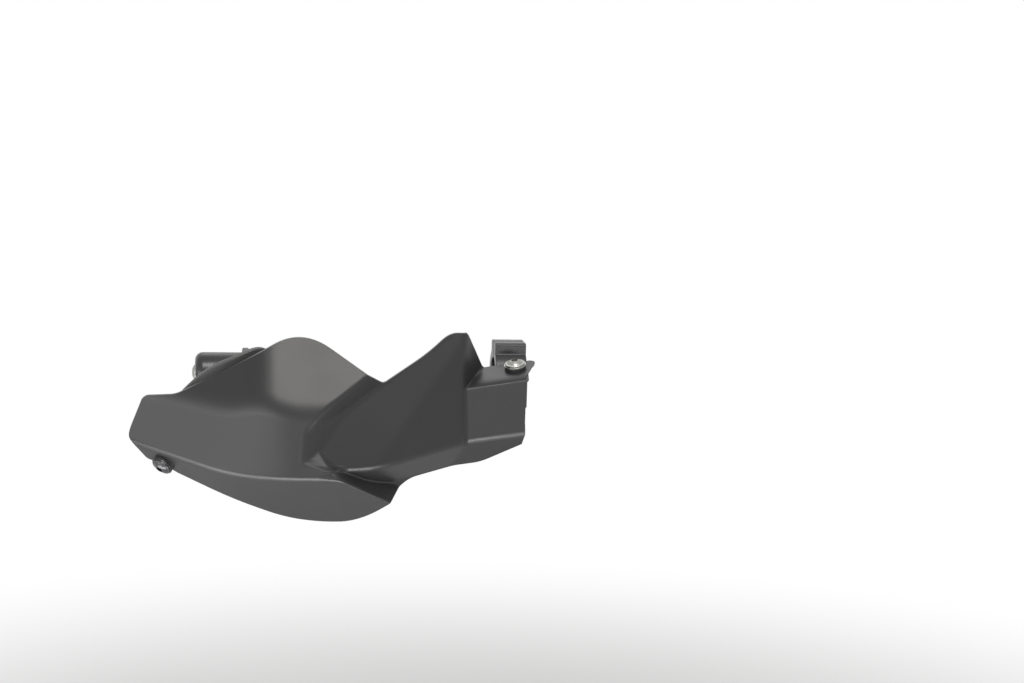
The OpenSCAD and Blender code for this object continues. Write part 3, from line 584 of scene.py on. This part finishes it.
strap_faces = [(r * around + k, r * around + (k + 1) % around, (r + 1) * around + (k + 1) % around,
                (r + 1) * around + k) for r in range(len(strap_at) - 1) for k in range(around)]
strap_faces += [tuple(range(around))[::-1], tuple(range(len(strap_points) - around, len(strap_points)))]
bracket = piece_from("strap_bracket", strap_points, strap_faces)
outward(bracket)


def arc(centre, radius, start, end, steps):
    """Points on an arc from one angle to another, in degrees."""
    turns = [math.radians(angle) for angle in np.linspace(start, end, steps)]
    return [(centre[0] + radius * math.cos(turn), centre[1] + radius * math.sin(turn)) for turn in turns]


def disc(name, radius, low, high, edge):
    """A flat round plate with rounded edges, from low to high along its own axis."""
    rim = arc((radius - edge, low + edge), edge, -90, 0, 7) + arc((radius - edge, high - edge), edge, 0, 90, 7)
    return turned(name, [(0, low)] + rim + [(0, high)])


def drill(name, radius, low, high, chamfer=0.35):
    """The cutter for a hole through a plate from low to high, with both its edges broken."""
    return turned(name, [(0, low - 1), (radius + chamfer + 1, low - 1), (radius, low + chamfer),
                         (radius, high - chamfer), (radius + chamfer + 1, high + 1), (0, high + 1)])


bar_end_place = Matrix.Translation((-bar_end * 0.001, 0, 0)) @ Matrix.Rotation(math.radians(-90), 4, "Y")
clear_r, flange_r, eye_edge, foot_edge = (thread_d + hole_clear) / 2, nut_flats / 2 + 1.5, 0.7, 0.5
worked(bracket, "UNION", [
    put(disc("eye", eye_d / 2, 0, strap_thick, eye_edge), bar_end_place),
    put(disc("foot", flange_r, plate_top - strap_thick, plate_top, foot_edge), tip_seat)])
flat_cuts = [put(rod("flat", radius, low, low + strap_thick), place)
             for radius, low, place in ((eye_d / 2, -strap_thick, bar_end_place),
                                        (eye_d / 2, strap_thick, bar_end_place),
                                        (rubber_d / 2 + 0.5, plate_top, tip_seat),
                                        (rubber_d / 2 + 0.5, plate_top - 2 * strap_thick, tip_seat))]
worked(bracket, "DIFFERENCE", flat_cuts + [
    put(drill("hole", clear_r, 0, strap_thick), bar_end_place),
    put(drill("hole", clear_r, plate_top - strap_thick, plate_top), tip_seat)])
powder_coat = grained("coated_steel", (0.05, 0.05, 0.05), 0, (0.4, 0.5), 0.9, 0.03, 30)
finished(bracket, powder_coat, "bar_end_bracket")

# The weight is a turned black bar end, with a rounded outer edge and a recess for the head of
# the long screw. It is bead blasted and anodised, so it has a satin gloss.
weight_d, weight_length, weight_round, weight_recess, weight_edge = 25.5, 30, 5, 1.2, 0.4
button_head_d, head_height, washer_thick = 10.5, 3.3, 1
recess_r, recess_edge = button_head_d / 2 + 0.5, 0.3
weight_profile = [(clear_r, 0), (weight_d / 2 - weight_edge, 0), (weight_d / 2, weight_edge)]
weight_profile += arc((weight_d / 2 - weight_round, weight_length - weight_round), weight_round, 0, 90, 16)
weight_profile += [(recess_r + recess_edge, weight_length), (recess_r, weight_length - recess_edge),
                   (recess_r, weight_length - weight_recess), (clear_r, weight_length - weight_recess)]
weight = turned("turned_weight", weight_profile, sides=128)
put(weight, Matrix.Translation((0, 0, strap_thick * 0.001)))
put(weight, bar_end_place)
anodised = grained("black_alloy", (0.028, 0.028, 0.03), 0.4, (0.3, 0.38), 0.3, 0.006, 25)
finished(weight, anodised, "bar_end_weight")

# Every screw is an M6 button head with a hexagon socket. The plain shank runs into a rolled
# thread, which follows a spiral at a pitch of 1 mm. The long one clamps the bar end together.
thread_pitch, thread_depth = 1.0, 0.52
expander_washer_thick, sleeve_length, cone_length, cone_nose = 1.5, 24, 11, 4
sleeve_end = -expander_washer_thick - sleeve_length
bar_end_seat = strap_thick + weight_length - weight_recess
threaded_hole_r, long_thread = thread_d / 2 + 0.05, 24
zinc_steel = grained("screw_steel", (0.36, 0.36, 0.34), 1, (0.27, 0.4), 0.25, 0.004, 4, (0.28, 0.28, 0.26))
black_oxide = grained("dark_screw", (0.05, 0.05, 0.052), 0.7, (0.25, 0.36), 0.25, 0.004, 4)

thread_tree = bpy.data.node_groups.new("rolled_thread", "GeometryNodeTree")
thread_inputs = {}
for label, kind in (("Core radius", "NodeSocketFloat"), ("Thread pitch", "NodeSocketFloat"),
                    ("Thread depth", "NodeSocketFloat"), ("Thread length", "NodeSocketFloat"),
                    ("Screw finish", "NodeSocketMaterial")):
    socket = thread_tree.interface.new_socket(label, in_out="INPUT", socket_type=kind)
    thread_inputs[label] = socket.identifier
thread_tree.interface.new_socket("Geometry", in_out="OUTPUT", socket_type="NodeSocketGeometry")
tree_nodes, tree_links = thread_tree.nodes, thread_tree.links
given = tree_nodes.new("NodeGroupInput")
turns = tree_nodes.new("ShaderNodeMath")
turns.operation = "DIVIDE"
tree_links.new(given.outputs["Thread length"], turns.inputs[0])
tree_links.new(given.outputs["Thread pitch"], turns.inputs[1])
spiral = tree_nodes.new("GeometryNodeCurveSpiral")
spiral.inputs["Resolution"].default_value = 32
tree_links.new(turns.outputs[0], spiral.inputs["Rotations"])
tree_links.new(given.outputs["Core radius"], spiral.inputs["Start Radius"])
tree_links.new(given.outputs["Core radius"], spiral.inputs["End Radius"])
tree_links.new(given.outputs["Thread length"], spiral.inputs["Height"])
upright = tree_nodes.new("GeometryNodeSetCurveNormal")
upright.mode = "Z_UP"
tree_links.new(spiral.outputs["Curve"], upright.inputs["Curve"])
ridge_shape = tree_nodes.new("GeometryNodeCurvePrimitiveCircle")
ridge_shape.inputs["Resolution"].default_value = 3
tree_links.new(given.outputs["Thread depth"], ridge_shape.inputs["Radius"])
swept = tree_nodes.new("GeometryNodeCurveToMesh")
swept.inputs["Fill Caps"].default_value = True
tree_links.new(upright.outputs["Curve"], swept.inputs["Curve"])
tree_links.new(ridge_shape.outputs["Curve"], swept.inputs["Profile Curve"])
whole = tree_nodes.new("GeometryNodeRealizeInstances")
tree_links.new(swept.outputs["Mesh"], whole.inputs["Geometry"])
coated_thread = tree_nodes.new("GeometryNodeSetMaterial")
tree_links.new(whole.outputs["Geometry"], coated_thread.inputs["Geometry"])
tree_links.new(given.outputs["Screw finish"], coated_thread.inputs["Material"])
result = tree_nodes.new("NodeGroupOutput")
tree_links.new(coated_thread.outputs["Geometry"], result.inputs["Geometry"])


def button_screw(name, place, material, node, seat, shank, threaded, flange_d=0):
    """A screw whose head stands on the height seat of its place, with its shank downwards."""
    top, edge = seat + head_height, 0.15
    if flange_d:
        dome_r, edge_r, rim_r = button_head_d * 0.62, flange_d * 0.4, flange_d / 2
        head = [(0, seat), (rim_r - edge, seat), (rim_r, seat + edge), (rim_r, seat + 0.85),
                (rim_r - 0.25, seat + 1.1), (edge_r + edge, seat + 1.2)]
    else:
        dome_r, edge_r = button_head_d * 0.72, button_head_d / 2
        head = [(0, seat), (edge_r - edge, seat), (edge_r, seat + edge)]
    low_dome = top - dome_r + math.sqrt(dome_r ** 2 - edge_r ** 2)
    head.append((edge_r, max(low_dome - 0.25, head[-1][1] + 0.05)))
    start_angle = math.degrees(math.acos(edge_r / dome_r))
    head += arc((0, top - dome_r), dome_r, start_angle + 2.5, 90, 14)[:-1] + [(0, top)]
    screw = turned(name, head)
    socket_r, socket_depth, socket_point, lead = thread_d * 0.77 / 2, 2, 0.4, 0.35
    socket_cut = turned("socket", [(0, top - socket_depth - socket_point), (socket_r, top - socket_depth),
                                   (socket_r, top + 1), (0, top + 1)], sides=6)
    lead_in = turned("lead_in", [(0, top - lead), (socket_r * 0.93, top - lead), (socket_r + lead, top + 0.3),
                                 (0, top + 0.3)])
    worked(screw, "DIFFERENCE", [socket_cut, lead_in])
    core_r = thread_d / 2 - thread_depth
    shank_end = seat - shank
    thread_top = shank_end + threaded
    shank_piece = turned("shank", [
        (0, seat + 0.4), (thread_d / 2, seat + 0.4), (thread_d / 2, thread_top + 0.3),
        (core_r, thread_top - 0.2), (core_r, shank_end + 0.5), (core_r - 0.5, shank_end),
        (0, shank_end)], sides=64)
    ridge_piece = bpy.data.objects.new("thread_ridge", bpy.data.meshes.new("thread_ridge"))
    bpy.context.scene.collection.objects.link(ridge_piece)
    rolled = ridge_piece.modifiers.new("rolled thread", "NODES")
    rolled.node_group = thread_tree
    rolled[thread_inputs["Core radius"]] = core_r * 0.001
    rolled[thread_inputs["Thread pitch"]] = thread_pitch * 0.001
    rolled[thread_inputs["Thread depth"]] = thread_depth * 0.001
    rolled[thread_inputs["Thread length"]] = (threaded - 1) * 0.001
    rolled[thread_inputs["Screw finish"]] = material
    applied(ridge_piece)
    put(ridge_piece, Matrix.Translation((0, 0, (shank_end + 0.6) * 0.001)))
    outward(ridge_piece)
    gathered(screw, [shank_piece, ridge_piece])
    put(screw, place)
    finished(screw, material, node)


bar_end_shank = bar_end_seat - sleeve_end + cone_length + 1.5
button_screw("long_screw", bar_end_place, zinc_steel, "bar_end_screw", bar_end_seat,
             bar_end_shank, long_thread)

# A turned steel washer, a rubber sleeve and a cone nut sit on the long screw inboard of the
# eye. The screw pulls the cone into the sleeve, which swells and holds in a bore of 14 mm.
bar_bore_d = 14


def ring(name, inner_r, outer_r, low, high):
    """A turned ring of square section with its four edges rounded."""
    edge, outline = 0.15, []
    for centre, start in (((outer_r - edge, low + edge), -90), ((outer_r - edge, high - edge), 0),
                          ((inner_r + edge, high - edge), 90), ((inner_r + edge, low + edge), 180)):
        outline += arc(centre, edge, start, start + 90, 4)
    return turned(name, outline)


end_washer = put(ring("end_washer", clear_r, bar_bore_d / 2 - 0.5, -expander_washer_thick, 0), bar_end_place)
finished(end_washer, zinc_steel, "expander_washer")
rubber = grained("black_rubber", (0.02, 0.02, 0.02), 0, (0.6, 0.75), 0.5, 0.02, 8)
sleeve = turned("rubber_sleeve", [
    (clear_r, sleeve_end + cone_nose + 0.1), (clear_r, -expander_washer_thick - 0.3),
    (clear_r + 0.3, -expander_washer_thick), (bar_bore_d / 2 - 0.5, -expander_washer_thick),
    (bar_bore_d / 2 - 0.1, -expander_washer_thick - 0.4), (bar_bore_d / 2 - 0.1, sleeve_end + 0.3),
    (bar_bore_d / 2 - 0.4, sleeve_end), (bar_bore_d / 2 - 1.4, sleeve_end),
    (thread_d / 2 + 1, sleeve_end + cone_nose + 0.1)])
finished(put(sleeve, bar_end_place), rubber, "expander_sleeve")
cone = turned("cone_nut", [
    (threaded_hole_r, sleeve_end - cone_length + 0.5), (threaded_hole_r, sleeve_end + cone_nose),
    (thread_d / 2 + 0.9, sleeve_end + cone_nose), (bar_bore_d / 2 - 1.5, sleeve_end),
    (bar_bore_d / 2 - 0.6, sleeve_end), (bar_bore_d / 2 - 0.3, sleeve_end - 0.3),
    (bar_bore_d / 2 - 0.3, sleeve_end - cone_length + 0.4), (bar_bore_d / 2 - 0.7, sleeve_end - cone_length),
    (thread_d / 2 + 0.5, sleeve_end - cone_length)])
finished(put(cone, bar_end_place), zinc_steel, "expander_cone")

# The shell rides on two moulded rubber rings. On each stand a steel washer and a flanged
# screw, and a flanged nut holds them from behind. The pair under the tip is black.
flange_head_d, washer_d, nut_height, arm_thick = 12.6, 14, 6, 4
seat_thread, past_nut = 11, 1
washer_seat = seat_proud + rubber_thick
head_seat = washer_seat + washer_thick


def grommet(name, place, node):
    """A rubber ring with a groove round its neck, where the shell's boss sits."""
    neck_r, edge, bore_edge = grommet_hole_d / 2 - 0.05, 0.4, 0.3
    outline = [(clear_r, plate_top + bore_edge), (clear_r, washer_seat - bore_edge),
               (clear_r + bore_edge, washer_seat)]
    for low, high in ((seat_proud, washer_seat), (plate_top, -seat_depth)):
        outline += arc((rubber_d / 2 - edge, high - edge), edge, 90, 0, 4)
        outline += arc((rubber_d / 2 - edge, low + edge), edge, 0, -90, 4)
        if low == seat_proud:
            outline += [(neck_r, seat_proud), (neck_r, -seat_depth)]
    outline.append((clear_r + bore_edge, plate_top))
    finished(put(turned(name, outline), place), rubber, node)


def flanged_nut(name, place, node, seat):
    """A hexagon nut with a round flange on the height seat, hanging downwards."""
    flats_r, low = nut_flats / 2, seat - nut_height
    corner_r = flats_r / math.cos(math.radians(30))
    nut = rod(name, corner_r, low, seat - 0.5, sides=6)
    chamfer = turned("chamfer", [(0, low), (flats_r - 0.2, low), (corner_r + 0.2, low + 1),
                                 (corner_r + 0.2, seat), (0, seat)])
    worked(nut, "INTERSECT", [chamfer])
    collar = turned("collar", [(0, seat - 1.9), (flats_r + 0.2, seat - 1.7), (flats_r + 1.2, seat - 1.2),
                               (flange_r, seat - 0.9), (flange_r, seat - 0.2), (flange_r - 0.2, seat),
                               (0, seat)])
    worked(nut, "UNION", [collar])
    worked(nut, "DIFFERENCE", [drill("bore", threaded_hole_r, low, seat, 0.5)])
    finished(put(nut, place), zinc_steel, node, sharp=28)


for seat_name, place, material, slot, plate in (
        ("tip", tip_seat, black_oxide, "dark_screw", strap_thick),
        ("ledge", ledge_seat, zinc_steel, "screw_steel", arm_thick)):
    grommet(seat_name + "_rubber", place, seat_name + "_grommet")
    finished(put(ring(seat_name + "_disc", clear_r, washer_d / 2, washer_seat, head_seat), place),
             material, seat_name + "_washer")
    button_screw(seat_name + "_flanged_screw", place, material, seat_name + "_screw", head_seat,
                 head_seat - plate_top + plate + nut_height + past_nut, seat_thread, flange_head_d)
    flanged_nut(seat_name + "_flanged_nut", place, seat_name + "_nut", plate_top - plate)

# The arm is bent from 4 mm steel and powder coated. Its foot is screwed to the front of the
# clamp, and its round head carries the shell under the ledge.
arm_width, arm_foot, arm_foot_top, clamp_front_depth, arm_screw_depth, arm_thread = 16, 22, 4, 20, 7, 9
arm_screw_z = arm_foot_top - arm_foot + 7.5


def block(name, low, high):
    points = [(x, y, z) for x in (low[0], high[0]) for y in (low[1], high[1]) for z in (low[2], high[2])]
    faces = [(0, 1, 3, 2), (4, 6, 7, 5), (0, 4, 5, 1), (2, 3, 7, 6), (0, 2, 6, 4), (1, 5, 7, 3)]
    piece = piece_from(name, points, faces)
    outward(piece)
    return piece


def wrapped(name, pieces):
    """The convex hull of some pieces, as the bent neck between two plates."""
    shape = bmesh.new()
    for piece in pieces:
        for vertex in piece.data.vertices:
            shape.verts.new(vertex.co)
        bpy.data.objects.remove(piece)
    bmesh.ops.convex_hull(shape, input=shape.verts)
    spare = [vertex for vertex in shape.verts if not vertex.link_faces]
    bmesh.ops.delete(shape, geom=spare, context="VERTS")
    bmesh.ops.dissolve_limit(shape, angle_limit=math.radians(1), verts=shape.verts, edges=shape.edges)
    mesh = bpy.data.meshes.new(name)
    shape.to_mesh(mesh)
    shape.free()
    piece = bpy.data.objects.new(name, mesh)
    bpy.context.scene.collection.objects.link(piece)
    outward(piece)
    return piece


arm_front = -clamp_front_depth - arm_thick
arm = wrapped("bent_arm", [
    put(rod("head", arm_width / 2, plate_top - arm_thick, plate_top, sides=48), ledge_seat),
    block("neck", (-arm_width / 2, arm_front, arm_foot_top - 1),
          (arm_width / 2, -clamp_front_depth, arm_foot_top + 1))])
worked(arm, "UNION", [block("foot", (-arm_width / 2, arm_front, arm_foot_top - arm_foot),
                            (arm_width / 2, -clamp_front_depth, arm_foot_top))])
arm_place = Matrix.Translation(Vector((0, -clamp_front_depth, arm_screw_z)) * 0.001) @ Matrix.Rotation(
    math.radians(90), 4, "X")
worked(arm, "DIFFERENCE", [
    put(rod("hole", clear_r, -1, arm_thick + 1), arm_place),
    put(rod("hole", clear_r, plate_top - 2 * arm_thick, plate_top + arm_thick), ledge_seat),
    put(rod("spot", rubber_d / 2 + 0.3, plate_top + 0.02, plate_top + arm_thick), ledge_seat),
    put(rod("spot", flange_r + 0.3, plate_top - arm_thick - nut_height, plate_top - arm_thick - 0.02),
        ledge_seat)])
finished(arm, powder_coat, "clamp_arm")
small_washer_r, arm_head_seat = button_head_d / 2 + 0.25, arm_thick + washer_thick
finished(put(ring("arm_disc", clear_r, small_washer_r, arm_thick, arm_head_seat), arm_place),
         zinc_steel, "arm_washer")
button_screw("arm_button_screw", arm_place, zinc_steel, "arm_screw", arm_head_seat,
             arm_head_seat + arm_screw_depth, arm_thread)

# The clamp is milled from alloy in two halves, then blasted and anodised black. Two screws
# close it from behind, and its front block takes the arm's foot.
bar_d, clamp_ring, clamp_width, ear_depth, clamp_gap, clamp_lip, clamp_web = 22.2, 6.4, 20, 10, 1, 5.8, 1.6
clamp_edge, clamp_thread, arm_thread_depth = 0.6, 12, 8
clamp_screw_z = bar_d / 2 + thread_d / 2 + clamp_web
ear_reach, ear_round = clamp_screw_z + clamp_lip, 2
ring_r = bar_d / 2 + clamp_ring
clamp_screw_end = -ear_depth + 1.5


def clamp_half(name, node, side, block_outline, holes):
    """One half of the clamp, from its outline as (away from the parting, up). Side is 1 for the
    rear half and -1 for the front one."""
    parting = clamp_gap / 2
    bore_end = math.degrees(math.acos(parting / (bar_d / 2)))
    ring_end = math.degrees(math.acos(ear_depth / ring_r))
    ear_centre = ear_depth - ear_round, ear_reach - ear_round
    outline = arc((0, 0), bar_d / 2, -bore_end, bore_end, 60) + [(parting, ear_reach)]
    outline += arc(ear_centre, ear_round, 90, 0, 7)
    outline += block_outline or arc((0, 0), ring_r, ring_end, -ring_end, 60)
    outline += arc((ear_centre[0], -ear_centre[1]), ear_round, -15 if block_outline else 0, -90, 6)
    outline.append((parting, -ear_reach))
    half, count = clamp_width / 2, len(outline)
    points = [(x, side * away, up) for x in (-half, half) for away, up in outline]
    faces = [tuple(range(count)), tuple(range(count, 2 * count))]
    faces += [(k, (k + 1) % count, (k + 1) % count + count, k + count) for k in range(count)]
    body = piece_from(name, points, faces)
    outward(body)
    eased(body, clamp_edge, angle=30)
    worked(body, "DIFFERENCE", holes)
    finished(body, anodised, node)


front_block = arc((0, 0), ring_r, math.degrees(math.acos(ear_depth / ring_r)),
                  math.degrees(math.asin((arm_foot_top + 2) / ring_r)), 16)
front_block += [(clamp_front_depth, arm_foot_top + 2), (clamp_front_depth, arm_foot_top - arm_foot - 1),
                (ear_depth, arm_foot_top - arm_foot - 1)]
clamp_screw_places = [Matrix.Translation((0, 0, side * clamp_screw_z * 0.001)) @ Matrix.Rotation(
    math.radians(-90), 4, "X") for side in (1, -1)]
front_holes = [put(drill("thread", threaded_hole_r, clamp_screw_end, -clamp_gap / 2, 0.4), place)
               for place in clamp_screw_places]
front_holes.append(put(drill("thread", threaded_hole_r, -arm_thread_depth, 0, 0.4), arm_place))
clamp_half("front_half", "clamp_front", -1, front_block, front_holes)
rear_holes = [put(drill("hole", clear_r, clamp_gap / 2, ear_depth, 0.3), place)
              for place in clamp_screw_places]
rear_holes += [put(rod("spot", small_washer_r + 0.5, ear_depth, 2 * ear_depth), place)
               for place in clamp_screw_places]
clamp_half("rear_half", "clamp_rear", 1, None, rear_holes)
clamp_head_seat = ear_depth + washer_thick
for end, place in zip(("upper", "lower"), clamp_screw_places):
    finished(put(ring(end + "_disc", clear_r, small_washer_r, ear_depth, clamp_head_seat), place),
             zinc_steel, "clamp_washer_" + end)
    button_screw(end + "_clamp_screw", place, zinc_steel, "clamp_screw_" + end,
                 clamp_head_seat, clamp_head_seat - clamp_screw_end - 0.5, clamp_thread)

# The floor is a plain white sheet that keeps the guard's shadow. Further out it fades into the
# white background, which the camera, reflections and glass see and which lights nothing.
floor_height, floor_reach = -0.30, 6
floor_mesh = bpy.data.meshes.new("floor")
floor_mesh.from_pydata([(x * floor_reach, y * floor_reach, floor_height)
                        for x, y in ((-1, -1), (1, -1), (1, 1), (-1, 1))], [], [(0, 1, 2, 3)])
floor = bpy.data.objects.new("floor", floor_mesh)
bpy.context.scene.collection.objects.link(floor)


def background_rays(nodes, links):
    """1 for the rays of the camera, of reflections and of glass, 0 for those that light things."""
    path = nodes.new("ShaderNodeLightPath")
    seen = path.outputs["Is Camera Ray"]
    for other in ("Is Glossy Ray", "Is Transmission Ray"):
        either = nodes.new("ShaderNodeMath")
        either.operation = "MAXIMUM"
        links.new(seen, either.inputs[0])
        links.new(path.outputs[other], either.inputs[1])
        seen = either.outputs[0]
    return seen


floor_paint = bpy.data.materials.new("floor_paint")
floor_paint.use_nodes = True
paint_nodes, paint_links = floor_paint.node_tree.nodes, floor_paint.node_tree.links
paint = paint_nodes["Principled BSDF"]
paint.inputs["Base Color"].default_value = (0.75, 0.75, 0.75, 1)
paint.inputs["Roughness"].default_value = 0.7
floor_place = paint_nodes.new("ShaderNodeTexCoord")
from_guard = paint_nodes.new("ShaderNodeVectorMath")
from_guard.operation = "LENGTH"
paint_links.new(floor_place.outputs["Object"], from_guard.inputs[0])
fade = paint_nodes.new("ShaderNodeMapRange")
fade.interpolation_type = "SMOOTHSTEP"
fade.inputs["From Min"].default_value = 0.25
fade.inputs["From Max"].default_value = 0.85
paint_links.new(from_guard.outputs["Value"], fade.inputs["Value"])
white_share = paint_nodes.new("ShaderNodeMath")
white_share.operation = "MULTIPLY"
paint_links.new(fade.outputs["Result"], white_share.inputs[0])
paint_links.new(background_rays(paint_nodes, paint_links), white_share.inputs[1])
glow = paint_nodes.new("ShaderNodeEmission")
whole_floor = paint_nodes.new("ShaderNodeMixShader")
paint_links.new(white_share.outputs[0], whole_floor.inputs["Fac"])
paint_links.new(paint.outputs["BSDF"], whole_floor.inputs[1])
paint_links.new(glow.outputs["Emission"], whole_floor.inputs[2])
paint_links.new(whole_floor.outputs["Shader"], paint_nodes["Material Output"].inputs["Surface"])
floor.data.materials.append(floor_paint)

world = bpy.data.worlds.new("studio")
bpy.context.scene.world = world
world.use_nodes = True
sky_nodes, sky_links = world.node_tree.nodes, world.node_tree.links
sky_nodes["Background"].inputs["Color"].default_value = (1, 1, 1, 1)
sky_level = sky_nodes.new("ShaderNodeMapRange")
sky_level.inputs["To Min"].default_value = 0.25
sky_links.new(background_rays(sky_nodes, sky_links), sky_level.inputs["Value"])
sky_links.new(sky_level.outputs["Result"], sky_nodes["Background"].inputs["Strength"])


# Eight soft boxes light the guard: one high in front and one low, two wide ones on the outer
# side, a small one on the inner side, one behind, and two just above the floor for the lower
# edges. Places and sizes are in metres, and power in watts.
def softbox(name, place, aim, width, height, power, colour=(1, 1, 1)):
    lamp = bpy.data.lights.new(name, "AREA")
    lamp.shape = "RECTANGLE"
    lamp.size, lamp.size_y, lamp.energy = width, height, power
    lamp.color = colour
    holder = bpy.data.objects.new(name, lamp)
    bpy.context.scene.collection.objects.link(holder)
    place = Vector(place)
    turn = (Vector(aim) - place).to_track_quat("-Z", "Y").to_matrix().to_4x4()
    holder.matrix_world = Matrix.Translation(place) @ turn


shell_middle = (-0.12, -0.08, 0)
softbox("high_front", (-0.09, -0.86, 1.04), shell_middle, 0.55, 0.5, 9.4, (1, 0.97, 0.94))
softbox("outer_front", (-1.03, -1.27, -0.06), shell_middle, 1.0, 0.4, 7.2)
softbox("outer_side", (-1.35, -0.5, -0.06), shell_middle, 0.7, 0.4, 3.2)
softbox("inner_front", (0.52, -0.97, 0.7), shell_middle, 0.25, 0.25, 3.6)
softbox("behind", (-0.12, 0.87, 0.89), shell_middle, 0.7, 0.5, 1.6)
softbox("low_front", (0.11, -1.65, -0.18), shell_middle, 0.5, 0.2, 2.4)
softbox("floor_outer", (-0.42, -0.13, -0.28), (-0.2, -0.06, -0.05), 0.2, 0.2, 1.1)
softbox("floor_strip", (-0.14, -0.19, -0.285), (-0.14, -0.09, -0.04), 0.5, 0.08, 1.7)
